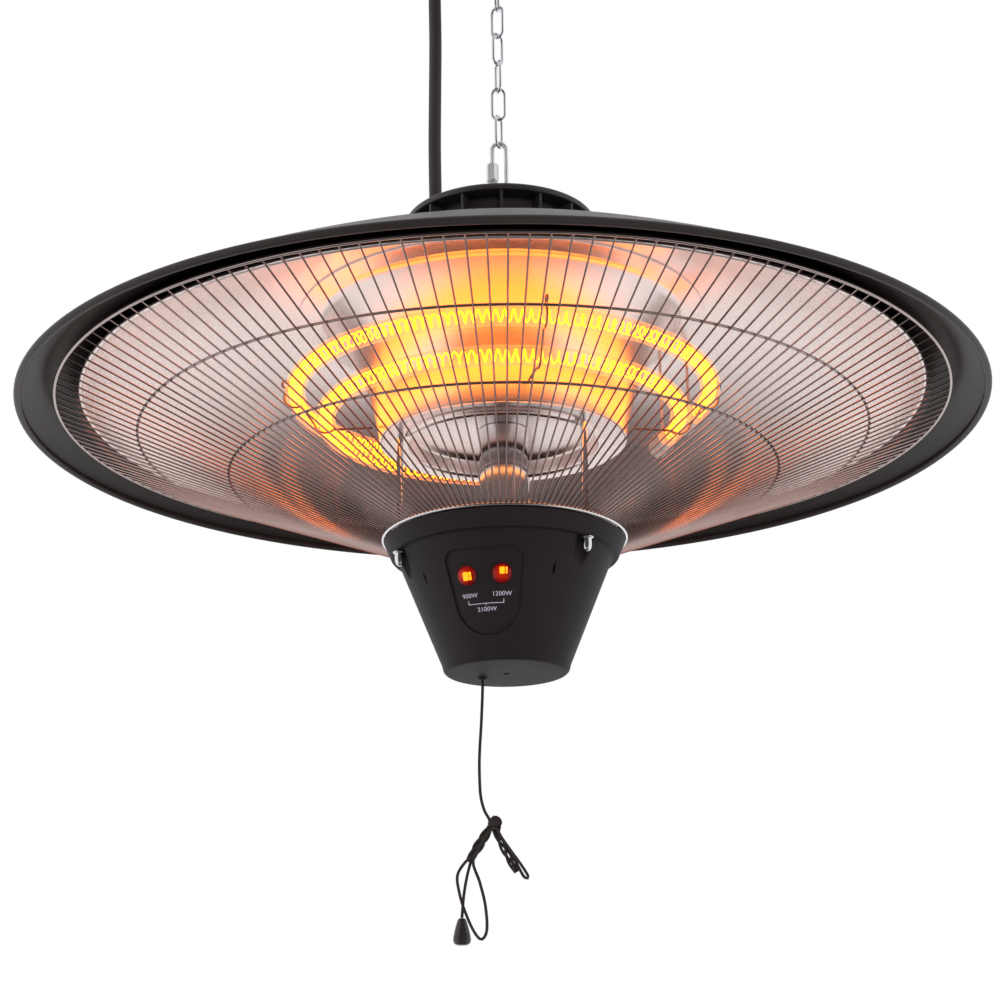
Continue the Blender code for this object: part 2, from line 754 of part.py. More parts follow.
def add_lamp(side, radius, height, curls):
    """A quartz ring tube with its filament, two ceramic ends and the straps that hold them."""
    location = (0, 0, RIM_Z + height)
    points = ring_points(radius, LAMP_START, LAMP_END, 24)
    skin = meshed(guide_curve(points, LAMP_TUBE_RADIUS))
    tube = part(side + "_lamp_tube", skin, quartz(), location, "heater")
    degree = 180 / math.pi / radius
    bore = ring_points(radius, LAMP_START - 3 * MM * degree, LAMP_END + 3 * MM * degree, 24)
    core = meshed(guide_curve(bore, LAMP_TUBE_RADIUS - LAMP_TUBE_WALL))
    combine(tube, guide(side + "_tube_bore", core, location))
    inset = 4 * MM * degree
    helix = helix_points(radius, LAMP_START + inset, LAMP_END - inset, curls)
    wire(side + "_filament", helix, FILAMENT_WIRE / 2, hot_wire(), location, "heater")
    print(side + "_filament least gap to itself", round(least_gap(helix, FILAMENT_WIRE, 6) / MM, 2), "mm")
    for label, lamp_end, before in (("left", *points[:2]), ("right", *points[:-3:-1])):
        along = (lamp_end - before).normalized()
        turned_to = Vector((0, 0, 1)).rotation_difference(along).to_matrix().to_4x4()
        middle = lamp_end + along * (GAP + CERAMIC_LENGTH / 2)
        mesh = cone_mesh("ceramic", CERAMIC_RADIUS, CERAMIC_LENGTH, 12, slant=turned_to)
        name = side + "_ceramic_" + label
        part(name, mesh, ceramic(), middle + Vector(location), "heater")
        add_strap(side, label, lamp_end + along * (2 * GAP + CERAMIC_LENGTH + STRAP_SHEET / 2), along, height)


def guide_curve(points, radius):
    obj = bpy.data.objects.new("tube_guide", wire_curve("tube_guide", points, radius))
    CUTTERS.objects.link(obj)
    return obj


def plate_mesh(name, outline, thickness):
    """A flat plate in its own XY plane."""
    curve = bpy.data.curves.new(name, "CURVE")
    curve.dimensions = "2D"
    curve.fill_mode = "BOTH"
    curve.extrude = thickness / 2
    spline = curve.splines.new("POLY")
    spline.points.add(len(outline) - 1)
    for vertex, (x, y) in zip(spline.points, outline):
        vertex.co = (x, y, 0, 1)
    spline.use_cyclic_u = True
    obj = bpy.data.objects.new(name, curve)
    CUTTERS.objects.link(obj)
    return meshed(obj)


def add_strap(side, label, end, along, height):
    """An upright strap from under the bell's flange down behind a ceramic end."""
    radius = Vector((end.x, end.y, 0)).length
    ceiling = DISH_TOP - 2 * DISH_SHEET - 3 * GAP
    foot = height - CERAMIC_RADIUS
    half = STRAP_WIDTH / 2
    clear = max(0, BELL_TOP_RADIUS + 1 * MM + half - radius)
    jog = height + CERAMIC_RADIUS
    outline = [
        (-half, foot),
        (half, foot),
        (half + clear, foot + clear),
        (half + clear, ceiling),
        (clear - half, ceiling),
        (clear - half, jog + clear),
        (-half, jog),
    ]
    name = side + "_lamp_strap_" + label
    strap = part(name, plate_mesh("strap", outline, STRAP_SHEET), zinc(), (end.x, end.y, RIM_Z), "heater")
    up = Vector((0, 0, 1))
    out = along.cross(up)
    if out.dot(end) < 0:
        out = -out
    strap.rotation_euler = Matrix((out, up, out.cross(up))).transposed().to_euler()


def bell_radius(height):
    """Outer radius of the bell at a height over the rim."""
    line = bell_line()
    for (r1, z1), (r2, z2) in zip(line, line[1:]):
        if z2 <= height <= z1:
            return r2 + (r1 - r2) * (height - z2) / (z1 - z2)
    return line[-1][0]


def add_supports():
    """Spring wires from the bell that pass under the inner lamp and hook round the outer one."""
    reach = LAMP_TUBE_RADIUS + GAP + SUPPORT_WIRE / 2
    start_height = INNER_LAMP_HEIGHT - 4 * MM
    start = (bell_radius(start_height) + GAP + SUPPORT_WIRE / 2, start_height)
    inner = arc((INNER_LAMP_RADIUS, INNER_LAMP_HEIGHT), reach, 225, 345, 7)
    outer = arc((OUTER_LAMP_RADIUS, OUTER_LAMP_HEIGHT), reach, 240, 430, 9)
    for i, degrees in enumerate(SUPPORT_ANGLES):
        points = [around(r, degrees, z) for r, z in [start] + inner + outer]
        name = "lamp_support_" + str(i + 1)
        wire(name, points, SUPPORT_WIRE / 2, zinc(), (0, 0, RIM_Z), "heater")


def guard_height(radius):
    share = (radius - GUARD_FOOT_RADIUS) / (GUARD_RADIUS - GUARD_FOOT_RADIUS)
    return GUARD_FOOT_HEIGHT + (GUARD_HEIGHT - GUARD_FOOT_HEIGHT) * share


def guard_ring_mesh(radius, thickness, count, lift):
    turns = [360 * (i + 0.37) / count for i in range(count)]
    points = [around(radius, degrees, guard_height(radius) + lift) for degrees in turns]
    curve = wire_curve("guard_ring", points, thickness / 2, cyclic=True, resolution=0)
    obj = bpy.data.objects.new("guard_ring", curve)
    CUTTERS.objects.link(obj)
    return meshed(obj)


def add_guard():
    """Straight wires welded to four rings, one closed body."""
    location = (0, 0, RIM_Z)
    outer = guard_ring_mesh(GUARD_RADIUS, GUARD_OUTER_WIRE, GUARD_WIRES, 0)
    guard = part("wire_guard", outer, chrome(), location, "heater")
    rods = wire_curve("guard_wires", [(0, 0, 0), (0, 0, 1)], GUARD_WIRE / 2, resolution=0)
    rods.splines.clear()
    for i in range(GUARD_WIRES):
        spline = rods.splines.new("POLY")
        spline.points.add(1)
        for vertex, radius in zip(spline.points, (GUARD_RADIUS, GUARD_FOOT_RADIUS)):
            vertex.co = (*around(radius, 360 * i / GUARD_WIRES, guard_height(radius)), 1)
    obj = bpy.data.objects.new("guard_wires", rods)
    CUTTERS.objects.link(obj)
    combine(guard, guide("guard_wires", meshed(obj), location), "UNION")
    lift = (GUARD_RING_WIRE + GUARD_WIRE) * 0.35
    rings = [(radius, GUARD_RING_WIRE, lift) for radius in GUARD_MIDDLE_RADII]
    rings.append((GUARD_FOOT_RADIUS, GUARD_FOOT_WIRE, 0))
    for i, (radius, thickness, lift) in enumerate(rings):
        mesh = guard_ring_mesh(radius, thickness, GUARD_WIRES, lift)
        combine(guard, guide("guard_ring_" + str(i), mesh, location), "UNION")


def housing_line(inset):
    """(radius, height) down the housing's outside, drawn in by an inset."""
    corner = HOUSING_CORNER
    return [
        (HOUSING_TOP_RADIUS - inset, 0),
        (HOUSING_LEDGE_RADIUS - inset, inset - HOUSING_BAND),
        (HOUSING_LEDGE_RADIUS - HOUSING_SHOULDER - inset, inset - HOUSING_BAND),
        (HOUSING_FOOT_RADIUS - inset + 0.3 * corner, -HOUSING_HEIGHT + corner),
        (HOUSING_FOOT_RADIUS - inset - 0.35 * corner, -HOUSING_HEIGHT + 0.9 * MM + inset),
        (HOUSING_FOOT_RADIUS - inset - corner, -HOUSING_HEIGHT + inset),
        (0, -HOUSING_HEIGHT + inset),
    ]


def shell_radius(drop):
    """Outer radius of the housing this far below its top, under its ledge."""
    low = HOUSING_HEIGHT - HOUSING_CORNER
    foot = HOUSING_FOOT_RADIUS + 0.3 * HOUSING_CORNER
    shoulder = HOUSING_LEDGE_RADIUS - HOUSING_SHOULDER
    share = (drop - HOUSING_BAND) / (low - HOUSING_BAND)
    return shoulder + (foot - shoulder) * share


def shell_tilt():
    """Angle by which the housing's face looks down, in radians."""
    low = HOUSING_HEIGHT - HOUSING_CORNER
    return math.atan2(shell_radius(HOUSING_BAND) - shell_radius(low), low - HOUSING_BAND)


def panel_outline():
    """The shield shape of the panel: a flat top with round corners and a round foot."""
    half = PANEL_WIDTH / 2
    corner = 8 * MM
    foot_radius = half * 0.82
    points = arc((half - corner, -corner), corner, 90, 0, 4)
    points += arc((0, -PANEL_HEIGHT + foot_radius), foot_radius, -8, -172, 11)
    points += arc((-half + corner, -corner), corner, 180, 90, 4)
    return points


def panel_cutter():
    """A shield-shaped block that reaches a little way under the housing's face."""
    radius = shell_radius(PANEL_TOP_DROP)
    block = plate_mesh("panel_outline", panel_outline(), 28 * MM)
    cutter = guide("panel_cutter", block, (0, -radius, HOUSING_Z - PANEL_TOP_DROP))
    cutter.rotation_euler.x = math.pi / 2 + shell_tilt()
    core = turned_guide(
        "panel_core",
        [(0, 0)] + housing_line(PANEL_DEPTH),
        48,
        (0, 0, HOUSING_Z),
    )
    combine(cutter, core)
    return cutter


def add_housing():
    """The black control housing: a cone that narrows downwards, with three bolt pockets."""
    outline = [(0, 0)] + housing_line(0)
    coat = black_plastic()
    place_at = (0, 0, HOUSING_Z)
    housing = turned("control_housing", outline, 48, coat, place_at, "heater", closed=False)
    lines = housing_line(HOUSING_WALL)
    cavity = turned_guide(
        "housing_cavity",
        [(0, 2 * MM), (lines[0][0], 2 * MM)] + lines,
        40,
        (0, 0, HOUSING_Z),
    )
    depth = HOUSING_HEIGHT
    for i, degrees in enumerate(BOLT_ANGLES):
        top = LEDGE_Z + LEDGE_THICKNESS
        keep = cone_mesh("pocket_wall", POCKET_RADIUS + HOUSING_WALL, depth, 20)
        middle = around(BOLT_CIRCLE, degrees, top - depth / 2)
        combine(cavity, guide("pocket_wall_" + str(i), keep, middle))
    combine(housing, cavity)
    for i, degrees in enumerate(BOLT_ANGLES):
        pocket = cone_mesh("pocket", POCKET_RADIUS, depth, 20)
        middle = around(BOLT_CIRCLE, degrees, LEDGE_Z - depth / 2)
        combine(housing, guide("pocket_" + str(i), pocket, middle))
        hole = cone_mesh("ledge_hole", BOLT_RADIUS + GAP, 4 * LEDGE_THICKNESS, 10)
        combine(housing, guide("ledge_hole_" + str(i), hole, around(BOLT_CIRCLE, degrees, LEDGE_Z)))
    combine(housing, panel_cutter())
    for i, degrees in enumerate((-LAMP_PITCH_ANGLE / 2, LAMP_PITCH_ANGLE / 2)):
        combine(housing, lens_hole(i, degrees))
    for i, degrees in enumerate(SLOT_ANGLES):
        size = (SLOT_WIDTH, 6 * HOUSING_WALL, SLOT_HEIGHT)
        slot = guide("slot_" + str(i), box_mesh("slot", size))
        slot.location = around(shell_radius(SLOT_DROP), degrees, HOUSING_Z - SLOT_DROP)
        slot.rotation_euler.z = math.radians(degrees)
        combine(housing, slot)
    bush_hole = cone_mesh("bush_hole", BUSH_RADIUS + GAP, 6 * HOUSING_WALL, 12)
    combine(housing, guide("bush_hole", bush_hole, (*PULL_PLACE, FLOOR_Z)))


def lens_turn(degrees):
    """Turns a piece built along Z so that it looks out of the housing's face at this angle."""
    out = Matrix.Rotation(math.pi / 2 + shell_tilt(), 4, "X")
    return Matrix.Rotation(math.radians(degrees), 4, "Z") @ out


def lens_seat(degrees):
    """The point on the panel's floor where a pilot lamp sits."""
    radius = shell_radius(LAMP_DROP) - PANEL_DEPTH / math.cos(shell_tilt())
    return around(radius, degrees, HOUSING_Z - LAMP_DROP)


def lens_hole(i, degrees):
    hole = guide("lens_hole_" + str(i), cone_mesh("lens_hole", LENS_BARREL + GAP, 10 * HOUSING_WALL, 16))
    hole.location = lens_seat(degrees)
    hole.rotation_euler = lens_turn(degrees).to_euler()
    return hole


def add_pilot_lamps():
    for i, degrees in enumerate((-LAMP_PITCH_ANGLE / 2, LAMP_PITCH_ANGLE / 2)):
        points = [
            (0, LENS_PROUD + 0.6 * MM),
            (LENS_RADIUS * 0.6, LENS_PROUD + 0.3 * MM),
            (LENS_RADIUS, LENS_PROUD - 1 * MM),
            (LENS_RADIUS, 0.9 * MM),
            (LENS_BARREL, 0.9 * MM),
            (LENS_BARREL, -LENS_LENGTH),
            (0, -LENS_LENGTH),
        ]
        name = "pilot_lamp_" + str(i + 1)
        lamp = turned(name, points, 16, red_lens(), lens_seat(degrees), "heater", closed=False)
        lamp.rotation_euler = lens_turn(degrees).to_euler()


def add_lid():
    points = [
        (POST_RADIUS * 0.5, LID_THICKNESS),
        (HOUSING_TOP_RADIUS - 2.5 * MM, LID_THICKNESS),
        (HOUSING_TOP_RADIUS - 2.5 * MM, 0),
        (POST_RADIUS * 0.5, 0),
    ]
    lid = turned("housing_lid", points, 32, black_plastic(), (0, 0, LID_Z), "heater")
    for i, degrees in enumerate(BOLT_ANGLES):
        hole = cone_mesh("lid_hole", BOLT_RADIUS + GAP, 8 * LID_THICKNESS, 10)
        combine(lid, guide("lid_hole_" + str(i), hole, around(BOLT_CIRCLE, degrees, LID_Z)))


def add_bolts():
    """Long bolts from the pan, through the lid, into dome nuts under the housing's ledges."""
    head_top = PAN_Z + DISH_SHEET + GAP + BOLT_HEAD_HEIGHT
    foot = LEDGE_Z - GAP - NUT_GRIP
    for i, degrees in enumerate(BOLT_ANGLES):
        middle = around(BOLT_CIRCLE, degrees, (head_top + foot) / 2)
        shank = part(
            "support_bolt_" + str(i + 1),
            cone_mesh("shank", BOLT_RADIUS, head_top - foot, 10),
            chrome(),
            middle,
            "heater",
        )
        head = cone_mesh("bolt_head", BOLT_HEAD_WIDTH / math.sqrt(3), BOLT_HEAD_HEIGHT, 6)
        at = around(BOLT_CIRCLE, degrees, head_top - BOLT_HEAD_HEIGHT / 2 + 0.1 * MM)
        combine(shank, guide("bolt_head_" + str(i), head, at), "UNION")
        add_dome_nut(i, degrees)


def add_dome_nut(i, degrees):
    half = NUT_WIDTH / 2
    bore = BOLT_RADIUS + GAP
    points = [
        (bore, 0),
        (half + 0.8 * MM, 0),
        (half + 0.8 * MM, -0.9 * MM),
        (half, -1.2 * MM),
        (half, -4.2 * MM),
        (half * 0.8, -4.8 * MM),
        (half * 0.74, -7 * MM),
        (half * 0.45, -8.5 * MM),
        (0, -NUT_HEIGHT),
        (0, -NUT_GRIP - GAP),
        (bore, -NUT_GRIP - GAP),
    ]
    place_at = around(BOLT_CIRCLE, degrees, LEDGE_Z - GAP)
    turned("dome_nut_" + str(i + 1), points, 10, chrome(), place_at, "heater")


def add_inner_works():
    """Terminal block under the lid, and the pull switch on the housing's floor."""
    height = LID_Z - GAP - TERMINAL_SIZE[2] / 2
    mesh = box_mesh("terminal_block", TERMINAL_SIZE, 1 * MM)
    part("terminal_block", mesh, switch_plastic(), (*TERMINAL_PLACE, height), "heater")
    foot = FLOOR_Z + HOUSING_WALL + GAP
    mesh = box_mesh("pull_switch", SWITCH_SIZE, 1 * MM)
    middle = (*PULL_PLACE, foot + SWITCH_SIZE[2] / 2)
    switch = part("pull_switch", mesh, switch_plastic(), middle, "heater")
    bore = cone_mesh("switch_bore", SWITCH_BORE, 2 * SWITCH_BORE_DEPTH, 16)
    combine(switch, guide("switch_bore", bore, (*PULL_PLACE, foot)))
    roof = foot + SWITCH_BORE_DEPTH
    plunger = cone_mesh("switch_plunger", SWITCH_BORE - GAP, PLUNGER_LENGTH, 12)
    middle = (*PULL_PLACE, roof - GAP - PLUNGER_LENGTH / 2)
    part("switch_plunger", plunger, black_plastic(), middle, "pull")
    return roof - GAP - PLUNGER_LENGTH


def add_bush():
    """The flanged bush in the housing's floor that the pull cord runs through."""
    bore = PULL_CORD_RADIUS + GAP
    top = HOUSING_WALL
    points = [
        (bore, top),
        (BUSH_RADIUS, top),
        (BUSH_RADIUS, -GAP),
        (BUSH_FLANGE, -GAP),
        (BUSH_FLANGE - 0.8 * MM, -BUSH_PROUD),
        (bore, -BUSH_PROUD),
    ]
    turned("cord_bush", points, 14, black_plastic(), (*PULL_PLACE, FLOOR_Z), "heater")


def relief_profile():
    """A tapered rubber strain relief that hangs down from its flange."""
    return [
        (0, 0),
        (RELIEF_RADIUS + 2 * MM, 0),
        (RELIEF_RADIUS + 2 * MM, -2 * MM),
        (RELIEF_RADIUS, -2.6 * MM),
        (CABLE_RADIUS + 1.3 * MM, -RELIEF_LENGTH),
        (0, -RELIEF_LENGTH),
    ]


def smooth_route(points, step):
    """A Catmull-Rom curve through the points, read off at a steady step."""
    ends = [points[0] * 2 - points[1]] + points + [points[-1] * 2 - points[-2]]
    fine = []
    for i in range(1, len(ends) - 2):
        for j in range(20):
            t = j / 20
            a, b, c, d = ends[i - 1], ends[i], ends[i + 1], ends[i + 2]
            bend = (2 * a - 5 * b + 4 * c - d) * t * t + (3 * b - a - 3 * c + d) * t ** 3
            fine.append(0.5 * (2 * b + (c - a) * t + bend))
    fine.append(points[-1])
    route = [fine[0]]
    gone = 0.0
    for before, after in zip(fine, fine[1:]):
        gone += (after - before).length
        if gone >= step:
            route.append(after)
            gone = 0.0
    if (route[-1] - fine[-1]).length < step / 2:
        route.pop()
    return route + [fine[-1]]


def add_supply_cable():
    """The mains cable runs straight up beside the chain, between two strain reliefs."""
    coat = rubber()
    top_height = -PLATE_THICKNESS - GAP
    top_end = HOOK_Z + 2 * GAP
    drop = top_end - top_height
    upper = relief_profile()[:-2] + [(CABLE_RADIUS + 1.3 * MM, drop), (0, drop)]
    turned("ceiling_strain_relief", upper, 14, coat, (CABLE_PLACE, 0, top_height), "ceiling", closed=False)
    low = [(r, -z) for r, z in relief_profile()][::-1]
    turned("cap_strain_relief", low, 14, coat, (CABLE_PLACE, 0, CAP_Z + GAP), "heater", closed=False)
    start = Vector((CABLE_PLACE, 0, CAP_Z + RELIEF_LENGTH + 2 * GAP))
    end = Vector((CABLE_PLACE, 0, top_end - GAP))
    rise = Vector((0, 0, (end.z - start.z) / 4))
    sway = Vector((0.4 * MM, 0, 0))
    points = [start, start + rise - sway, start + 2 * rise, start + 3 * rise + sway, end]
    route = smooth_route(points, 14 * MM)
    wire("supply_cable", route, CABLE_RADIUS, coat, (0, 0, 0), "heater", resolution=2)


# Pull cord: down from the bush, then the surplus tied up in a slip knot with a loop on each side.
# (across, deep, down) in millimetres from the middle of the housing's floor, as seen from the front.
PULL_ROUTE = (
    (-16.6, 6.4, 4),
    (-17.6, 6.4, 26),
    (-18.9, 6.4, 45),
    (-19.2, 6.4, 58),
    (-18.6, 6.4, 72),
    (-16.4, 6.4, 81),
    (-13.2, 6.4, 87.5),
    (-14.6, 6.4, 93.5),
    (-19.6, 6.4, 99.5),
    (-23.9, 6.4, 107),
    (-29.4, 6.0, 112.5),
    (-33.0, 5.0, 119.5),
    (-31.6, 4.0, 129.5),
    (-28.2, 2.6, 140),
    (-22.9, 2.4, 152),
    (-18.1, 2.4, 157.4),
    (-14.8, 2.6, 152),
    (-15.6, 3.0, 138),
    (-19.0, 3.6, 124),
    (-23.0, 3.9, 112),
    (-19.3, 3.9, 103),
    (-14.9, 3.9, 96.5),
    (-9.5, 3.9, 92),
    (-5.2, 3.9, 98.5),
    (0.3, 3.9, 106.5),
    (6.3, 3.9, 115),
    (10.3, 4.2, 122),
    (7.5, 5.6, 121.8),
    (3.9, 6.6, 115.6),
    (-0.7, 6.6, 106.5),
    (-5.5, 6.8, 99.5),
    (-8.9, 7.9, 95.5),
    (-7.7, 8.9, 91.0),
    (-10.9, 9.1, 86.6),
    (-14.5, 8.9, 90.6),
    (-18.9, 8.9, 97.5),
    (-23.4, 8.9, 105),
    (-27.2, 8.9, 116),
    (-29.9, 8.9, 129),
    (-31.4, 8.9, 143.5),
)


def add_pull_cord(plunger_foot):
    """The cord from the plunger to the toggle, one unbroken tube."""
    floor = Vector((0, 0, FLOOR_Z))
    points = [Vector((*PULL_PLACE, plunger_foot - GAP))]
    for across, deep, down in PULL_ROUTE:
        points.append(floor + Vector((across, deep, -down)) * MM)
    points[1] = Vector((*PULL_PLACE, FLOOR_Z - 4 * MM))
    route = smooth_route(points, 5.2 * MM)
    print("pull_cord least gap to itself", round(least_gap(route, 2 * PULL_CORD_RADIUS, 5) / MM, 2), "mm")
    print("pull_cord points", len(route))
    wire("pull_cord", route, PULL_CORD_RADIUS, cord_black(), (0, 0, 0), "pull", resolution=1)
    points = [
        (0, 0),
        (TOGGLE_NECK, -0.4 * MM),
        (TOGGLE_NECK + 0.8 * MM, -2 * MM),
        (TOGGLE_RADIUS - 0.4 * MM, -0.62 * TOGGLE_LENGTH),
        (TOGGLE_RADIUS, -0.78 * TOGGLE_LENGTH),
        (TOGGLE_RADIUS - 1 * MM, -TOGGLE_LENGTH + 0.8 * MM),
        (TOGGLE_RADIUS - 2.2 * MM, -TOGGLE_LENGTH),
        (0, -TOGGLE_LENGTH),
    ]
    end = route[-1] - Vector((0, 0, GAP))
    turned("cord_toggle", points, 14, black_plastic(), end, "pull", closed=False)


clear_scene()
PARTS = new_collection("hanging_patio_heater")
CUTTERS = new_collection("cutters")
EMPTIES = add_body_empties(PARTS)

add_ceiling_plate()
add_ceiling_hook()
add_chain()
add_quick_link()
add_cap(add_eye())
add_shade()
add_reflector()
add_bell()
add_pan()
add_carrier_and_tubes()
add_lamp("outer", OUTER_LAMP_RADIUS, OUTER_LAMP_HEIGHT, OUTER_CURLS)
add_lamp("inner", INNER_LAMP_RADIUS, INNER_LAMP_HEIGHT, INNER_CURLS)
add_supports()
add_guard()
add_housing()
add_lid()
add_pilot_lamps()
add_bolts()
add_bush()
add_supply_cable()
add_pull_cord(add_inner_works())
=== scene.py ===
import math

import bmesh
import bpy
from mathutils import Matrix, Vector


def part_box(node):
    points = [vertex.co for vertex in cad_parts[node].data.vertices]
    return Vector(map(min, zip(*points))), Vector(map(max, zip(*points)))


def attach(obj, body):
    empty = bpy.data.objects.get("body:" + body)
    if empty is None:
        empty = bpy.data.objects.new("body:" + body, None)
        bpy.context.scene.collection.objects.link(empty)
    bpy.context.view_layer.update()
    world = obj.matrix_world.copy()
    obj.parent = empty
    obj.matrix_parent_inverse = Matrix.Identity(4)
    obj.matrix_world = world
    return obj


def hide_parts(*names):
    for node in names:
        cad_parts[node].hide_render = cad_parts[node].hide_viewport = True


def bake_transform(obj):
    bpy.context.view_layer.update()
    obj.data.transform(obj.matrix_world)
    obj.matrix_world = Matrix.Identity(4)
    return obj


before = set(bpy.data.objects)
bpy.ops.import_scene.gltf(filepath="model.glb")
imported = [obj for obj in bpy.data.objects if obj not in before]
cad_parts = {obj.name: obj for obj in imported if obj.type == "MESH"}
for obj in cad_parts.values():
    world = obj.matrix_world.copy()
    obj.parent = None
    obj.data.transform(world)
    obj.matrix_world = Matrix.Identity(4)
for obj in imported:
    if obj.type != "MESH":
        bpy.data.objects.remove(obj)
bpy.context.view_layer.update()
MM = 0.001

# Camera: in front of the heater and a little to its right, half a metre below the rim, looking up.
# Its lens is long, so that the far side of the rim is nearly as wide as the near side.
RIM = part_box("shade")[0].z + 2.38 * MM
CAMERA_SIDE = math.radians(13)
CAMERA_DISTANCE = 1.30
CAMERA_DROP = 0.4685
CAMERA_TILT = 0.3106
CAMERA_TURN = -0.002
CAMERA_ROLL = -0.014
CAMERA_SENSOR = 36
CAMERA_LENS = 79.38


def add_object(name, data):
    obj = bpy.data.objects.new(name, data)
    bpy.context.scene.collection.objects.link(obj)
    return obj


side = Vector((math.cos(CAMERA_SIDE), math.sin(CAMERA_SIDE), 0))
ahead = Vector((-math.sin(CAMERA_SIDE), math.cos(CAMERA_SIDE), 0))
up = Vector((0, 0, 1))
level = ahead * math.cos(CAMERA_TURN) + side * math.sin(CAMERA_TURN)
aim = level * math.cos(CAMERA_TILT) + up * math.sin(CAMERA_TILT)
across = aim.cross(up).normalized()
top = across.cross(aim)
rolled_across = across * math.cos(CAMERA_ROLL) + top * math.sin(CAMERA_ROLL)
rolled_top = top * math.cos(CAMERA_ROLL) - across * math.sin(CAMERA_ROLL)
turned_to = Matrix((rolled_across, rolled_top, -aim)).transposed().to_4x4()
camera = add_object("camera", bpy.data.cameras.new("camera"))
camera.data.sensor_width = CAMERA_SENSOR
camera.data.lens = CAMERA_LENS
camera.matrix_world = Matrix.Translation(-ahead * CAMERA_DISTANCE + up * (RIM - CAMERA_DROP)) @ turned_to
bpy.context.scene.camera = camera
bpy.context.scene.view_settings.view_transform = "Standard"

# Mains cable: round black rubber flex that runs straight up beside the chain, held taut between the
# strain relief on the cap and the one under the ceiling plate.
CABLE_RADIUS = 4.15 * MM
CABLE_PLACE = -43 * MM
CABLE_SWAY = 0.4 * MM


def turn_smooth(mesh, sharp=35):
    mesh.shade_smooth()
    mesh.set_sharp_from_angle(angle=math.radians(sharp))
    return mesh


def set_all(thing, **settings):
    for setting, value in settings.items():
        setattr(thing, setting, value)
    return thing


def mesh_of(obj):
    """The evaluated shape of an object, which goes."""
    bpy.context.view_layer.update()
    mesh = bpy.data.meshes.new_from_object(obj.evaluated_get(bpy.context.evaluated_depsgraph_get()))
    bpy.data.objects.remove(obj, do_unlink=True)
    return mesh


def filled(shape, mesh=None):
    """Puts a bmesh into a mesh."""
    mesh = mesh or bpy.data.meshes.new("mesh")
    shape.to_mesh(mesh)
    shape.free()
    return mesh


def settled(obj):
    """The evaluated shape of an object as a plain mesh, welded and facing outwards."""
    mesh = mesh_of(obj)
    shape = bmesh.new()
    shape.from_mesh(mesh)
    bmesh.ops.remove_doubles(shape, verts=list(shape.verts), dist=0.002 * MM)
    bmesh.ops.recalc_face_normals(shape, faces=list(shape.faces))
    return filled(shape, mesh)


def new_curve(points, cyclic, **settings):
    """An object whose curve has one line of straight pieces."""
    curve = set_all(bpy.data.curves.new("line", "CURVE"), **settings)
    spline = curve.splines.new("POLY")
    spline.points.add(len(points) - 1)
    for vertex, point in zip(spline.points, points):
        vertex.co = (*point, 1)
    spline.use_cyclic_u = cyclic
    return add_object("line", curve)


def wire_mesh(points, radius, sides=8, cyclic=False):
    """A round wire along points, capped at its ends."""
    line = new_curve(points, cyclic, dimensions="3D", bevel_depth=radius, use_fill_caps=not cyclic)
    line.data.bevel_resolution = sides // 2 - 2
    return turn_smooth(settled(line))


def smooth_route(points, step):
    """A Catmull-Rom curve through the points, read off at a steady step."""
    ends = [points[0] * 2 - points[1]] + points + [points[-1] * 2 - points[-2]]
    fine = []
    for a, b, c, d in zip(ends, ends[1:], ends[2:], ends[3:]):
        for j in range(20):
            t = j / 20
            bend = (2 * a - 5 * b + 4 * c - d) * t * t + (3 * b - a - 3 * c + d) * t**3
            fine.append(0.5 * (2 * b + (c - a) * t + bend))
    fine.append(points[-1])
    route = [fine[0]]
    gone = 0.0
    for before, after in zip(fine, fine[1:]):
        gone += (after - before).length
        if gone >= step:
            route.append(after)
            gone = 0.0
    if (route[-1] - fine[-1]).length < step / 2:
        route.pop()
    return route + [fine[-1]]


def fill_in(node, sockets):
    """Sets a node's sockets, or links the outputs that feed them."""
    for label, value in dict(sockets).items():
        if isinstance(value, bpy.types.NodeSocket):
            node.id_data.links.new(value, node.inputs[label])
        elif value is not None:
            node.inputs[label].default_value = value


def new_node(tree, kind, sockets=(), **settings):
    node = set_all(tree.nodes.new(kind), **settings)
    fill_in(node, sockets)
    return node


def out_of(tree, kind, output, sockets=(), **settings):
    """One output of a new node."""
    return new_node(tree, kind, sockets, **settings).outputs[output]


def maths(tree, operation, *values, **settings):
    return out_of(tree, "ShaderNodeMath", "Value", enumerate(values), operation=operation, **settings)


def spread(tree, value, least, most, start=0.0, end=1.0, **settings):
    """A value moved from one range to another."""
    sockets = {"Value": value, "From Min": start, "From Max": end, "To Min": least, "To Max": most}
    return out_of(tree, "ShaderNodeMapRange", "Result", sockets, **settings)


def mixed(tree, factor, first, second):
    """A colour between two."""
    sockets = {"Factor": factor, "A": (*first, 1), "B": (*second, 1)}
    return out_of(tree, "ShaderNodeMix", "Result", sockets, data_type="RGBA")


def noise(tree, size, detail=2, place=None):
    place = place or out_of(tree, "ShaderNodeTexCoord", "Object")
    sockets = {"Vector": place, "Scale": size, "Detail": detail}
    return out_of(tree, "ShaderNodeTexNoise", "Fac", sockets)


def new_finish(name):
    made = bpy.data.materials.new(name)
    made.use_nodes = True
    return made, made.node_tree


def finished(made, **sockets):
    """A finish with sockets of its shader set or fed."""
    labelled = {label.replace("_", " "): value for label, value in sockets.items()}
    fill_in(made.node_tree.nodes["Principled BSDF"], labelled)
    return made


def relieved(made, height, strength, depth):
    """A finish with relief added over the relief that it has."""
    tree = made.node_tree
    sockets = {"Height": height, "Strength": strength, "Distance": depth}
    for link in tree.nodes["Principled BSDF"].inputs["Normal"].links:
        sockets["Normal"] = link.from_socket
    return finished(made, Normal=out_of(tree, "ShaderNodeBump", "Normal", sockets))


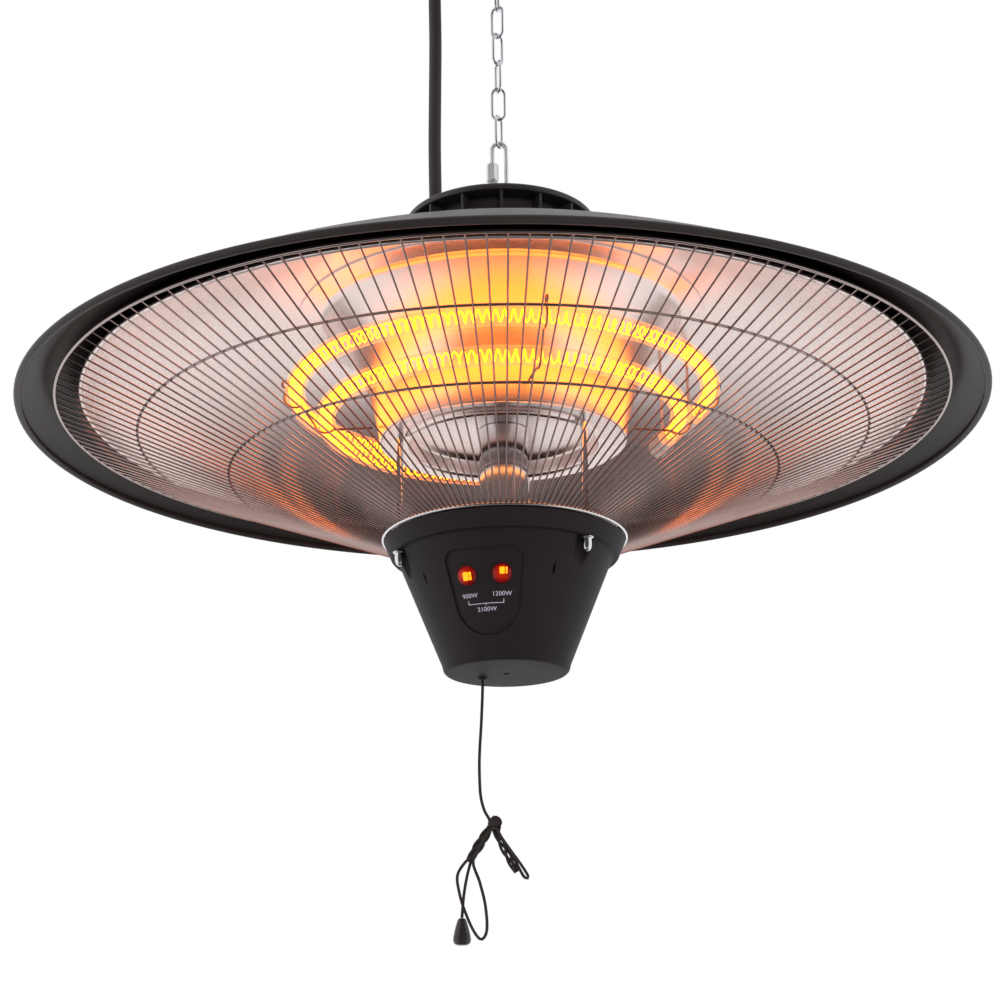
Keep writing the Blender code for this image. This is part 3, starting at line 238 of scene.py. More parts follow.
def new_group(name, inputs, outputs):
    """An empty shader group of number sockets, and the outputs that give what it is given."""
    group = bpy.data.node_groups.new(name, "ShaderNodeTree")
    for label, value in inputs.items():
        group.interface.new_socket(name=label, in_out="INPUT", socket_type="NodeSocketFloat").default_value = value
    for label in outputs:
        group.interface.new_socket(name=label, in_out="OUTPUT", socket_type="NodeSocketFloat")
    return group, group.nodes.new("NodeGroupInput").outputs


def grain_group():
    """Fine even grain with soft blotches over it, as moulded and painted surfaces have."""
    inputs = {"Fineness": 900.0, "Blotch Size": 12.0, "Low": 0.4, "High": 0.5}
    group, given = new_group("grain", inputs, ("Height", "Roughness", "Blotch"))
    fine = noise(group, given["Fineness"])
    broad = noise(group, given["Blotch Size"], 4)
    rough = spread(group, broad, given["Low"], given["High"])
    new_node(group, "NodeGroupOutput", {"Height": fine, "Roughness": rough, "Blotch": broad})
    return group


GRAIN = grain_group()


def coated(name, light, dark, low, high, fineness, relief, metallic=0.0, blotch=12.0, mirror=0.5):
    """A finish whose colour, roughness and relief come from the grain group."""
    made, tree = new_finish(name)
    sizes = {"Fineness": fineness, "Blotch Size": blotch, "Low": low, "High": high}
    grain = new_node(tree, "ShaderNodeGroup", sizes, node_tree=GRAIN).outputs
    colour = mixed(tree, grain["Blotch"], dark, light)
    finished(made, Base_Color=colour, Metallic=metallic, Roughness=grain["Roughness"], Specular_IOR_Level=mirror)
    return relieved(made, grain["Height"], 0.4, relief)


FLEX_RUBBER = coated("flex_rubber", (0.040, 0.028, 0.031), (0.028, 0.020, 0.022), 0.50, 0.62, 700, 0.00008, mirror=0.4)
low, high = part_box("supply_cable")
start = Vector((CABLE_PLACE, 0, low.z))
end = Vector((CABLE_PLACE, 0, high.z))
rise = (end - start) / 4
sway = Vector((CABLE_SWAY, 0, 0))
cable_points = [start, start + rise - sway, start + 2 * rise, start + 3 * rise + sway, end]
cable_route = smooth_route(cable_points, 6 * MM)
cable_mesh = wire_mesh(cable_route, CABLE_RADIUS, 20)
cable_mesh.materials.append(FLEX_RUBBER)
cable = add_object("mains_cable", cable_mesh)
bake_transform(cable)
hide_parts("supply_cable")

# Pull cord: thin braided black cord from the switch. Its surplus is tied up in a slip knot with a long
# loop on the left and a short one on the right, and it ends in a tapered plastic toggle.
PULL_CORD_RADIUS = 0.9 * MM
STRAND_STEPS = 28
BALL_STEPS = 22
PULL_PLACE = (-16.6 * MM, 6.4 * MM)
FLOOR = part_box("control_housing")[0].z
# Millimetres to the right, back, and down from the housing's floor.
PULL_ROUTE = (
    ((-17.6, 6.4, 26), (-18.9, 6.4, 45), (-19.2, 6.4, 58), (-18.6, 6.4, 72), (-16.4, 6.4, 81))
    + ((-13.2, 6.4, 87.5), (-14.6, 6.4, 93.5), (-19.6, 6.4, 99.5), (-23.9, 6.4, 107), (-29.4, 6.0, 112.5))
    + ((-33.0, 5.0, 119.5), (-31.6, 4.0, 129.5), (-28.2, 2.6, 140), (-22.9, 2.4, 152), (-18.1, 2.4, 157.4))
    + ((-14.8, 2.6, 152), (-15.6, 3.0, 138), (-19.0, 3.6, 124), (-23.0, 3.9, 112), (-19.3, 3.9, 103))
    + ((-14.9, 3.9, 96.5), (-9.5, 3.9, 92), (-5.2, 3.9, 98.5), (0.3, 3.9, 106.5), (6.3, 3.9, 115))
    + ((10.3, 4.2, 122), (7.5, 5.6, 121.8), (3.9, 6.6, 115.6), (-0.7, 6.6, 106.5), (-5.5, 6.8, 99.5))
    + ((-8.9, 7.9, 95.5), (-7.7, 8.9, 91.0), (-10.9, 9.1, 86.6), (-14.5, 8.9, 90.6), (-18.9, 8.9, 97.5))
    + ((-23.4, 8.9, 105), (-27.2, 8.9, 116), (-29.9, 8.9, 129), (-31.4, 8.9, 143.5))
)


def under_floor(point):
    """A point given in millimetres from the housing's floor."""
    right, back, rise = point
    return Vector((right * MM, back * MM, FLOOR + rise * MM))


def ridden(piece, slot, *nodes, body="heater"):
    """A piece that moves with a body and stands for CAD nodes."""
    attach(piece, body)
    if nodes:
        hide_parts(*nodes)
    return piece


def add_piece(name, mesh, finish, slot, *nodes, body="heater"):
    mesh.materials.append(finish)
    return ridden(add_object(name, mesh), slot, *nodes, body=body)


def braided_cord():
    """Black braided cord: two sets of slanting strands crossing each other, with worn dusty tops."""
    made = coated("braided_cord", (0.045, 0.036, 0.035), (0.018, 0.014, 0.014), 0.70, 0.86, 1500, 0.00010, mirror=0.3)
    tree = made.node_tree
    sockets = {"Vector": out_of(tree, "ShaderNodeTexCoord", "Object"), "Scale": 340, "Distortion": 1.5}
    strands = out_of(tree, "ShaderNodeTexWave", "Fac", sockets, bands_direction="DIAGONAL")
    return relieved(made, strands, 0.6, 0.00025)


BRAID = braided_cord()
plunger_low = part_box("switch_plunger")[0].z
pull_points = [Vector((*PULL_PLACE, plunger_low - 0.3 * MM)), Vector((*PULL_PLACE, FLOOR - 4 * MM))]
pull_points += [under_floor((right, back, -down)) for right, back, down in PULL_ROUTE]
pull_route = smooth_route(pull_points, 1.6 * MM)
pull_mesh = wire_mesh(pull_route, PULL_CORD_RADIUS, 10)
pull_cord = add_piece("pull_cord_braid", pull_mesh, BRAID, "cord_black", "pull_cord", body="pull")


def twisted_strands(first, last, strands, girth, turns):
    """Routes of strands laid round each other, thickest in the middle."""
    run = (Vector(last) - Vector(first)) * MM
    side_one = run.cross(Vector((0, 1, 0))).normalized()
    side_two = run.normalized().cross(side_one)
    routes = []
    for strand in range(strands):
        route = []
        for i in range(STRAND_STEPS + 1):
            t = i / STRAND_STEPS
            angle = 2 * math.pi * (turns * t + strand / strands)
            reach = girth * MM * math.sin(math.pi * (0.12 + 0.76 * t)) ** 0.7
            across = side_one * math.cos(angle) + side_two * math.sin(angle)
            route.append(under_floor(first) + run * t + across * reach)
        routes.append(route)
    return routes


def wound_ball(middle, radius, turns, tilt):
    """A route that winds round a small ball from one side to the other."""
    route = []
    count = BALL_STEPS * turns
    for i in range(count + 1):
        lean = math.pi * (0.22 + 0.56 * i / count)
        angle = 2 * math.pi * i / BALL_STEPS
        out = Vector((math.cos(lean), math.sin(lean) * math.cos(angle), math.sin(lean) * math.sin(angle)))
        out.rotate(Matrix.Rotation(math.radians(tilt), 3, "Y"))
        route.append(under_floor(middle) + out * radius * MM)
    return route


def joined(meshes, sharp=35):
    """Several meshes as one."""
    shape = bmesh.new()
    for mesh in meshes:
        shape.from_mesh(mesh)
    return turn_smooth(filled(shape), sharp)


knot_routes = [wound_ball((-10.2, 7.2, -88.6), 3.5, 5, 35)]
knot_routes += twisted_strands((-12.6, 7.2, -90.4), (-26.4, 6.6, -111.0), 4, 2.3, 0.8)
knot_routes += twisted_strands((-11.2, 7.6, -91.0), (2.2, 7.4, -118.4), 3, 1.7, 1.0)
knot_mesh = joined([wire_mesh(route, PULL_CORD_RADIUS, 8) for route in knot_routes])
knot = add_piece("slip_knot", knot_mesh, BRAID, "cord_black", body="pull")

# Studio: a pale floor far below and a white surround, which the metal mirrors dimly in front and from
# straight below, and wide soft lamps in front, at the left, behind and below.
FLOOR_SIZE = 6
FLOOR_HEIGHT = -1.9


def pale_floor():
    made, tree = new_finish("pale_floor")
    glow = maths(tree, "MULTIPLY", out_of(tree, "ShaderNodeLightPath", "Is Camera Ray"), 0.55)
    finished(made, Emission_Color=(1.0, 0.98, 0.98, 1), Emission_Strength=glow)
    return finished(made, Base_Color=(0.80, 0.79, 0.79, 1), Roughness=0.8)


floor_shape = bmesh.new()
bmesh.ops.create_grid(floor_shape, x_segments=2, y_segments=2, size=FLOOR_SIZE)
floor_mesh = filled(floor_shape)
floor_mesh.transform(Matrix.Translation((0, 0, FLOOR_HEIGHT)))
floor_mesh.materials.append(pale_floor())
floor = add_object("floor", floor_mesh)
floor.visible_glossy = False

world = bpy.data.worlds.new("studio")
bpy.context.scene.world = world
world.use_nodes = True
surround = world.node_tree
rays = surround.nodes.new("ShaderNodeLightPath").outputs
way = out_of(surround, "ShaderNodeTexCoord", "Generated")


def darkened(towards, start, end, least):
    """One away from a direction, falling smoothly to the least near it."""
    nearness = out_of(surround, "ShaderNodeVectorMath", "Value", {0: way, 1: towards}, operation="DOT_PRODUCT")
    return spread(surround, nearness, 1.0, least, start, end, interpolation_type="SMOOTHSTEP")


front = darkened(-ahead, 0.50, 0.86, 0.06)
ground = darkened(-up, 0.52, 0.88, 0.12)
mirrored = maths(surround, "MULTIPLY", front, ground)
twice_mirrored = spread(surround, rays["Glossy Depth"], 0.0, 0.15, 1.0, 2.0)
brighter = maths(surround, "MAXIMUM", mirrored, twice_mirrored)
seen = maths(surround, "MAXIMUM", rays["Is Camera Ray"], rays["Is Transmission Ray"])
sockets = {"Factor": rays["Is Glossy Ray"], "A": 0.22, "B": brighter}
unseen = out_of(surround, "ShaderNodeMix", "Result", sockets)
strength = out_of(surround, "ShaderNodeMix", "Result", {"Factor": seen, "A": unseen, "B": 1.0})
fill_in(surround.nodes["Background"], {"Strength": strength, "Color": (1, 1, 1, 1)})


def add_lamp(name, place, size, power):
    data = set_all(bpy.data.lights.new(name, "AREA"), shape="DISK", size=size, energy=power)
    lamp = set_all(add_object(name, data), location=place, rotation_mode="QUATERNION", visible_glossy=False)
    lamp.rotation_quaternion = (Vector((0, 0, RIM)) - Vector(place)).to_track_quat("-Z", "Y")


add_lamp("front_lamp", (0.9, -2.2, -0.1), 1.2, 26)
add_lamp("left_lamp", (-2.2, -0.9, 0.1), 1.4, 22)
add_lamp("back_lamp", (0.6, 2.2, 0.8), 1.4, 24)
add_lamp("under_lamp", (0.3, -0.7, -1.7), 1.2, 9)

# Ceiling plate and hook: a round zinc-plated steel plate screwed to the ceiling, with a pressed boss
# that holds a bent wire hook. The first chain link hangs in the hook.
ZINC = coated("zinc_plate", (0.84, 0.85, 0.88), (0.66, 0.67, 0.70), 0.08, 0.22, 500, 0.00001, 1.0, 60)
PLATE_RADIUS = 58 * MM
PLATE_THICKNESS = 4 * MM
HOOK = 7.5 * MM
HOOK_WIRE = 2 * MM
HOOK_FOOT = -28.7 * MM


def dress(material, *names):
    """Gives CAD pieces that keep their own shape a finish."""
    for name in names:
        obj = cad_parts[name]
        obj.data.materials.clear()
        obj.data.materials.append(material)


def mm(*points):
    return [tuple(number * MM for number in point) for point in points]


def raised(outline, height):
    return [(r, z + height) for r, z in outline]


def placed(mesh, place=(0, 0, 0), turn=0, axis="Z"):
    """A mesh turned about an axis through the origin by so many degrees, then moved to its place."""
    mesh.transform(Matrix.Translation(place) @ Matrix.Rotation(math.radians(turn), 4, axis))
    return mesh


def spun_mesh(outline, steps=160, sharp=35):
    """A closed (radius, height) outline, or one that starts and ends on the axis, turned round Z."""
    count = len(outline)
    edges = [(i, i + 1) for i in range(count - 1)]
    if outline[0][0] > 0 and outline[-1][0] > 0:
        edges.append((count - 1, 0))
    profile = bpy.data.meshes.new("outline")
    profile.from_pydata([(r, 0, z) for r, z in outline], edges, [])
    obj = add_object("outline", profile)
    screw = obj.modifiers.new("turn", "SCREW")
    set_all(screw, steps=steps, render_steps=steps, use_merge_vertices=True, merge_threshold=0.01 * MM)
    return turn_smooth(settled(obj), sharp)


def rod_mesh(radius, upper, lower, steps):
    """A plain rod round Z between two heights."""
    return spun_mesh([(0, upper), (radius, upper), (radius, lower), (0, lower)], steps)


def arc(centre, radius, start, end, count):
    points = []
    for i in range(count):
        angle = math.radians(start + (end - start) * i / (count - 1))
        points.append((centre[0] + radius * math.cos(angle), centre[1] + radius * math.sin(angle)))
    return points


def in_plane(points, turn_degrees, height):
    angle = math.radians(turn_degrees)
    return [(u * math.cos(angle), u * math.sin(angle), v + height) for u, v in points]


plate_outline = [(0, 0)]
plate_outline += arc((PLATE_RADIUS - 1.2 * MM, -1.2 * MM), 1.2 * MM, 90, 0, 6)
plate_outline += arc((PLATE_RADIUS - 0.6 * MM, -3.4 * MM), 0.6 * MM, 0, -90, 4)
plate_outline += mm((10, -4), (8.6, -4.4), (7.9, -5.4), (7.6, -8.8), (7.0, -9.5), (2.4, -9.5), (2.4, -4), (0, -4))
add_piece("plate_with_boss", spun_mesh(plate_outline, 96), ZINC, "zinc", "ceiling_plate", body="ceiling")
hook_middle = HOOK_FOOT + HOOK
hook_line = [(0, -4.3 * MM), (0, hook_middle + 1.35 * HOOK + 1.2 * MM)]
hook_line += [(0.5 * MM, hook_middle + 1.33 * HOOK - 0.4 * MM), (2.2 * MM, hook_middle + 1.14 * HOOK)]
hook_line += arc((0, hook_middle), HOOK, 55, -200, 36)
hook_mesh = wire_mesh(in_plane(hook_line, 0, 0), HOOK_WIRE, 14)
add_piece("bent_hook", hook_mesh, ZINC, "zinc", "ceiling_hook", body="ceiling")
SOCKET_KINDS = {int: "Int", float: "Float", tuple: "Vector", type(None): "Object"}


def new_grower(name, **inputs):
    """An empty Geometry Nodes tree with named inputs and a finish, and the outputs that give them."""
    tree = bpy.data.node_groups.new(name, "GeometryNodeTree")
    tree.is_modifier = True
    for label, value in inputs.items():
        kind = "NodeSocket" + SOCKET_KINDS[type(value)]
        socket = tree.interface.new_socket(name=label.replace("_", " "), in_out="INPUT", socket_type=kind)
        if value is not None:
            socket.default_value = value
    tree.interface.new_socket(name="Finish", in_out="INPUT", socket_type="NodeSocketMaterial")
    tree.interface.new_socket(name="Geometry", in_out="OUTPUT", socket_type="NodeSocketGeometry")
    return tree, tree.nodes.new("NodeGroupInput").outputs


def painted(tree, given, geometry):
    """Ends a tree: what it has made is made real and gets its finish."""
    real = out_of(tree, "GeometryNodeRealizeInstances", "Geometry", {"Geometry": geometry})
    sockets = {"Geometry": real, "Material": given["Finish"]}
    paint = out_of(tree, "GeometryNodeSetMaterial", "Geometry", sockets)
    new_node(tree, "NodeGroupOutput", {"Geometry": paint})
    return tree


def point_at(tree, x=None, y=None, z=None):
    return out_of(tree, "ShaderNodeCombineXYZ", "Vector", {"X": x, "Y": y, "Z": z})


def copied_round(tree, given, shape):
    """Copies of a shape turned evenly round Z, the first one by the start angle."""
    index = out_of(tree, "GeometryNodeInputIndex", "Index")
    share = maths(tree, "DIVIDE", index, given["Count"])
    turned = point_at(tree, z=maths(tree, "MULTIPLY_ADD", share, 2 * math.pi, given["Start"]))
    points = out_of(tree, "GeometryNodePoints", "Points", {"Count": given["Count"]})
    sockets = {"Points": points, "Instance": shape, "Rotation": turned}
    return painted(tree, given, out_of(tree, "GeometryNodeInstanceOnPoints", "Instances", sockets))


def screw_tree():
    """Geometry Nodes: pan-head screws set round a circle, each with a slot across its head."""
    tree, given = new_grower("screw_ring", Count=3, Circle=0.04, Head_Radius=0.004, Head_Height=0.0018, Start=0.0)
    radius, height = given["Head Radius"], given["Head Height"]
    taper = maths(tree, "MULTIPLY", radius, 0.72)
    sockets = {"Vertices": 20, "Radius Bottom": radius, "Radius Top": taper, "Depth": height}
    head = out_of(tree, "GeometryNodeMeshCone", "Mesh", sockets)
    long = maths(tree, "MULTIPLY", radius, 3.0)
    narrow = maths(tree, "MULTIPLY", radius, 0.26)
    slot = out_of(tree, "GeometryNodeMeshCube", "Mesh", {"Size": point_at(tree, long, narrow, height)})
    sockets = {"Geometry": slot, "Translation": point_at(tree, z=height)}
    slot = out_of(tree, "GeometryNodeTransform", "Geometry", sockets)
    sockets = {"Mesh 1": head, "Mesh 2": slot}
    cut = out_of(tree, "GeometryNodeMeshBoolean", "Mesh", sockets, operation="DIFFERENCE")
    sockets = {"Geometry": cut, "Translation": point_at(tree, given["Circle"])}
    return copied_round(tree, given, out_of(tree, "GeometryNodeTransform", "Geometry", sockets))


def grown(tree, **values):
    """The mesh that a Geometry Nodes tree makes with these values for its named inputs."""
    obj = add_object("grown", bpy.data.meshes.new("grown"))
    modifier = set_all(obj.modifiers.new("grow", "NODES"), node_group=tree)
    sockets = {item.name: item.identifier for item in tree.interface.items_tree if item.in_out == "INPUT"}
    for label, value in values.items():
        modifier[sockets[label.replace("_", " ")]] = value
    return turn_smooth(mesh_of(obj))


SCREWS = screw_tree()
screw_mesh = grown(SCREWS, Count=3, Circle=30 * MM, Head_Radius=4.2 * MM, Head_Height=2 * MM, Start=0.6, Finish=ZINC)
plate_screws = add_object("plate_screws", placed(screw_mesh, (0, 0, -PLATE_THICKNESS), 180, "X"))
ridden(plate_screws, "zinc", body="ceiling")

# Chain: short links of bright zinc-plated wire, each bent round and butt-welded on one long side, and
# each turned against the next.
LINK_WIRE = 1 * MM
LINK_BEND = 4.1 * MM
LINK_DROP = 22.5 * MM
LINK_STEP = 20.2 * MM
LINK_TURNS = (90, -19, 59, -57, 14, 77)
first_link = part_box("chain_link_1")[1].z - LINK_WIRE
for i, degrees in enumerate(LINK_TURNS):
    outline = arc((0, -LINK_BEND), LINK_BEND, 0, 180, 17)
    outline += [(-LINK_BEND, -LINK_DROP * 0.4), (-LINK_BEND, -LINK_DROP * 0.6)]
    outline += arc((0, -LINK_DROP + LINK_BEND), LINK_BEND, 180, 360, 17)
    outline += [(LINK_BEND, -LINK_DROP * 0.55), (LINK_BEND, -LINK_DROP * 0.45)]
    mesh = wire_mesh(in_plane(outline, degrees, first_link - i * LINK_STEP), LINK_WIRE, 12, cyclic=True)
    body = "heater" if i else "top_link"
    add_piece("bent_link_" + str(i + 1), mesh, ZINC, "zinc", "chain_link_" + str(i + 1), body=body)

# Quick link: an open loop of thicker zinc-plated wire between the chain and the cap's eye, with thread
# on both sides of its opening and a hexagonal sleeve screwed over it.
SATIN_ZINC = coated("satin_zinc", (0.92, 0.91, 0.90), (0.80, 0.79, 0.78), 0.34, 0.48, 400, 0.00002, 0.85, 40)
QUICK_WIRE = 1.5 * MM
QUICK_HALF = 4.5 * MM
QUICK_DROP = 34 * MM
QUICK_TURN = 14
SLEEVE_WIDTH = 7.2 * MM
SLEEVE_LENGTH = 12 * MM
SLEEVE_BORE = 1.75 * MM
quick_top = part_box("quick_link")[1].z - QUICK_WIRE
sleeve_low, sleeve_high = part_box("quick_link_sleeve")
opening = (sleeve_low.z + sleeve_high.z) / 2 - quick_top
quick_line = [(-QUICK_HALF, opening + 2.5 * MM), (-QUICK_HALF, -QUICK_HALF - 3 * MM)]
quick_line += arc((0, -QUICK_HALF), QUICK_HALF, 180, 0, 21)
quick_line += arc((0, -QUICK_DROP + QUICK_HALF), QUICK_HALF, 0, -180, 21)
quick_line += [(-QUICK_HALF, opening - 2.5 * MM)]
quick_mesh = wire_mesh(in_plane(quick_line, QUICK_TURN, quick_top), QUICK_WIRE, 14)
add_piece("open_quick_link", quick_mesh, SATIN_ZINC, "zinc", "quick_link")


def cut(obj, mesh, operation="DIFFERENCE"):
    """Has a mesh cut from an object, or has them keep what they share."""
    step = obj.modifiers.new("cut", "BOOLEAN")
    set_all(step, object=add_object("tool", mesh), operation=operation, solver="EXACT")


def carved(obj):
    """The shape of an object with its cuts made. The tools go."""
    tools = [step.object for step in obj.modifiers]
    mesh = settled(obj)
    for tool in tools:
        bpy.data.objects.remove(tool, do_unlink=True)
    return turn_smooth(mesh, 25)


def hexagon_sleeve(width, length, bore):
    """A six-sided nut blank with turned-down corners at both ends and a bore right through."""
    corner = width / math.sqrt(3)
    shape = bmesh.new()
    bmesh.ops.create_cone(shape, cap_ends=True, segments=6, radius1=corner, radius2=corner, depth=length)
    blank = add_object("hexagon", filled(shape))
    chamfer = [(0, 0.6), (width * 0.49, 0.501), (corner * 1.02, 0.42)]
    chamfer += [(r, -share) for r, share in chamfer[::-1]]
    cut(blank, spun_mesh([(r, length * share) for r, share in chamfer], 48), "INTERSECT")
    cut(blank, rod_mesh(bore, length, -length, 20))
    return carved(blank)


sleeve_mesh = hexagon_sleeve(SLEEVE_WIDTH, SLEEVE_LENGTH, SLEEVE_BORE)
placed(sleeve_mesh, (sleeve_low + sleeve_high) / 2, 30)
add_piece("hexagon_sleeve", sleeve_mesh, SATIN_ZINC, "zinc", "quick_link_sleeve", body="sleeve")

# Eye: a U bolt of zinc-plated wire whose legs pass down through the cap. The quick link hooks into its
# bend, and turns in it.
EYE_HALF = 5.5 * MM
EYE_WIRE = 1.5 * MM
eye_low, eye_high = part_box("hanging_eye")
eye_top = eye_high.z - EYE_WIRE
eye_foot = eye_low.z - eye_top
eye_line = [(EYE_HALF, eye_foot)] + arc((0, -EYE_HALF), EYE_HALF, 0, 180, 21) + [(-EYE_HALF, eye_foot)]
eye_mesh = wire_mesh(in_plane(eye_line, QUICK_TURN + 90, eye_top), EYE_WIRE, 14)
add_piece("bent_eye", eye_mesh, ZINC, "zinc", "hanging_eye")

# Cap: black glass-filled nylon, moulded in one: a round top on fifteen upright vanes, with a skirt that
# sits on the dome. Warm air leaves between the vanes.
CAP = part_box("top_cap")[1].z
CAP_NYLON = coated("cap_nylon", (0.034, 0.028, 0.028), (0.022, 0.018, 0.018), 0.36, 0.48, 1200, 0.00006, mirror=0.4)
VANES = 15
VANE_THICKNESS = 1.7 * MM
VANE_START = math.radians(-76)
cap_outline = mm((0, 0), (56, -0.3))
cap_outline += arc((59 * MM, -2.4 * MM), 2.0 * MM, 80, 0, 6)
cap_outline += arc((60.2 * MM, -4.2 * MM), 0.8 * MM, 0, -90, 4)
cap_outline += mm((50, -5.4), (49, -6.2), (49, -14.6), (50, -15.6), (64, -23.4), (65, -24.6), (65, -27))
cap_outline += mm((59, -24.9), (46, -18.2), (46, -5), (0, -5))
cap_mesh = spun_mesh(raised(cap_outline, CAP), 128)
add_piece("moulded_cap", cap_mesh, CAP_NYLON, "black_plastic", "top_cap")


def flat_plate(outline, thickness, bevel=0.0):
    """A flat outline in the XZ plane with a thickness along Y."""
    curve = new_curve([(x, y, 0) for x, y in outline], True, dimensions="2D", fill_mode="BOTH")
    set_all(curve.data, extrude=thickness / 2 - bevel, bevel_depth=bevel, offset=-bevel)
    return placed(settled(curve), turn=90, axis="X")


def vane_tree():
    """Geometry Nodes: one flat vane copied round the axis."""
    tree, given = new_grower("vane_ring", Count=VANES, Vane=None, Start=0.0)
    vane = out_of(tree, "GeometryNodeObjectInfo", "Geometry", {"Object": given["Vane"]})
    return copied_round(tree, given, vane)


vane_outline = mm((48.5, -5.2), (48.5, -16.4), (59.6, -22.4), (60, -5.2))
vane = add_object("vane", placed(flat_plate(vane_outline, VANE_THICKNESS, 0.25 * MM), (0, 0, CAP)))
vanes_mesh = grown(vane_tree(), Count=VANES, Vane=vane, Start=VANE_START, Finish=CAP_NYLON)
bpy.data.objects.remove(vane, do_unlink=True)
ridden(add_object("cap_vanes", vanes_mesh), "black_plastic")

# Strain reliefs: tapered black rubber sleeves at both ends of the cable, ribbed so that they bend
# evenly. Each stands on a flange, one on the cap and one under the ceiling plate.
RELIEF = 9.5 * MM
RELIEF_FLANGE = 2 * MM
RELIEF_END = 5.4 * MM
RELIEF_RIBS = 5


def relief_mesh(length):
    """A sleeve that stands on a flange at height 0 and tapers upwards, with a bore for the cable."""
    bore = CABLE_RADIUS + 0.05 * MM
    neck = RELIEF - 2 * MM
    pitch = (length - RELIEF_FLANGE - 2 * MM) / RELIEF_RIBS
    outline = [(bore, 0), (RELIEF, 0), (RELIEF, RELIEF_FLANGE), (neck, RELIEF_FLANGE + 0.8 * MM)]
    for i in range(RELIEF_RIBS):
        at = RELIEF_FLANGE + 1.4 * MM + pitch * i
        radius = neck - (neck - RELIEF_END) * i / RELIEF_RIBS
        groove = radius - 0.9 * MM
        outline += [(radius, at), (radius - 0.1 * MM, at + pitch * 0.55)]
        outline += [(groove, at + pitch * 0.65), (groove, at + pitch * 0.9)]
    outline += [(RELIEF_END, length - 0.4 * MM), (RELIEF_END - 0.4 * MM, length), (bore, length)]
    return spun_mesh(outline[::-1], 40, 50)


low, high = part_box("cap_strain_relief")
mesh = placed(relief_mesh(high.z - low.z), (CABLE_PLACE, 0, low.z))
add_piece("cap_cable_sleeve", mesh, FLEX_RUBBER, "rubber", "cap_strain_relief")
low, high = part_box("ceiling_strain_relief")
mesh = placed(relief_mesh(high.z - low.z), (CABLE_PLACE, 0, high.z), 180, "X")
add_piece("plate_cable_sleeve", mesh, FLEX_RUBBER, "rubber", "ceiling_strain_relief", body="ceiling")

# Shade: a shallow dome spun from thin steel sheet with its rim rolled over a wire, in satin black stove
# paint. Spinning leaves faint rings under the paint.
SHADE = 300 * MM
SHADE_CURVE = 1680 * MM
SHADE_BEAD = 2.4 * MM
SHADE_HOLE = 40 * MM
RIM_SINE = math.sin(math.radians(29))
LARGE_STEPS = 180


def ring_group():
    """Faint concentric rings round Z, as spinning or polishing on a lathe leaves them."""
    inputs = {"Rings": 900.0, "Low": 0.1, "High": 0.3}
    group, given = new_group("lathe_rings", inputs, ("Height", "Roughness"))
    place = out_of(group, "ShaderNodeTexCoord", "Object")
    flat = out_of(group, "ShaderNodeVectorMath", "Vector", {0: place, 1: (1, 1, 0)}, operation="MULTIPLY")
    reach = out_of(group, "ShaderNodeVectorMath", "Value", {0: flat}, operation="LENGTH")
    sockets = {"W": reach, "Scale": given["Rings"], "Detail": 3}
    rings = out_of(group, "ShaderNodeTexNoise", "Fac", sockets, noise_dimensions="1D")
    rough = spread(group, rings, given["Low"], given["High"])
    new_node(group, "NodeGroupOutput", {"Height": rings, "Roughness": rough})
    return group


LATHE_RINGS = ring_group()


def ringed(made, rings, relief, low, high, own_roughness=True):
    """A finish with lathe rings in its relief, and in its roughness if that is wanted."""
    sizes = {"Rings": rings, "Low": low, "High": high}
    group = new_node(made.node_tree, "ShaderNodeGroup", sizes, node_tree=LATHE_RINGS).outputs
    if own_roughness:
        finished(made, Roughness=group["Roughness"])
    return relieved(made, group["Height"], 0.5, relief)


def dome_height(radius):
    sine = RIM_SINE - (SHADE - SHADE_BEAD - radius) / SHADE_CURVE
    return SHADE_CURVE * (math.sqrt(1 - sine * sine) - math.sqrt(1 - RIM_SINE * RIM_SINE))


PAINT_COLOURS = ((0.030, 0.022, 0.022), (0.019, 0.014, 0.014))
STOVE_PAINT = coated("stove_paint", *PAINT_COLOURS, 0.40, 0.48, 1100, 0.00005, mirror=0.28)
ringed(STOVE_PAINT, 260, 0.00003, 0, 1, own_roughness=False)
edge = SHADE - SHADE_BEAD
radii = [SHADE_HOLE + (edge - 1 * MM - SHADE_HOLE) * i / 28 for i in range(29)]
dome = [(radius, SHADE_BEAD + dome_height(radius)) for radius in radii]
under = [(r - 0.4 * MM, z - 1.1 * MM) for r, z in dome]
shade_outline = dome + arc((edge, 0), SHADE_BEAD, 62, -150, 16) + under[::-1]
shade_mesh = spun_mesh(raised(shade_outline, RIM), LARGE_STEPS, 50)
add_piece("spun_dome", shade_mesh, STOVE_PAINT, "black_paint", "shade")

# Reflector dish: spun aluminium, polished, with a flat ring at its top and a rolled edge. It hangs
# inside the shade and throws the lamps' heat down.
POLISHED = coated("polished_aluminium", (1.0, 0.88, 0.85), (0.97, 0.84, 0.81), 0.12, 0.22, 300, 0.000004, 1.0, 9)
ringed(POLISHED, 1300, 0.000006, 0.20, 0.30)
DISH = 262 * MM
DISH_BEAD = 1.6 * MM
DISH_SHEET = 1 * MM
dish_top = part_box("reflector")[1].z - RIM


def bezier(first, pull, last, count):
    points = []
    for i in range(count):
        t = i / (count - 1)
        weights = ((1 - t) ** 2, 2 * t * (1 - t), t * t)
        points.append(tuple(sum(w * p[j] for w, p in zip(weights, (first, pull, last))) for j in (0, 1)))
    return points


def sheet_sides(line, thickness):
    """A line that runs down and outwards, and the line of the sheet's other face, which runs back."""
    under = []
    for i, (r, z) in enumerate(line):
        before = line[max(i - 1, 0)]
        after = line[min(i + 1, len(line) - 1)]
        run = Vector((after[0] - before[0], after[1] - before[1])).normalized()
        under.append((r + run.y * thickness, z - run.x * thickness))
    return line, under[::-1]


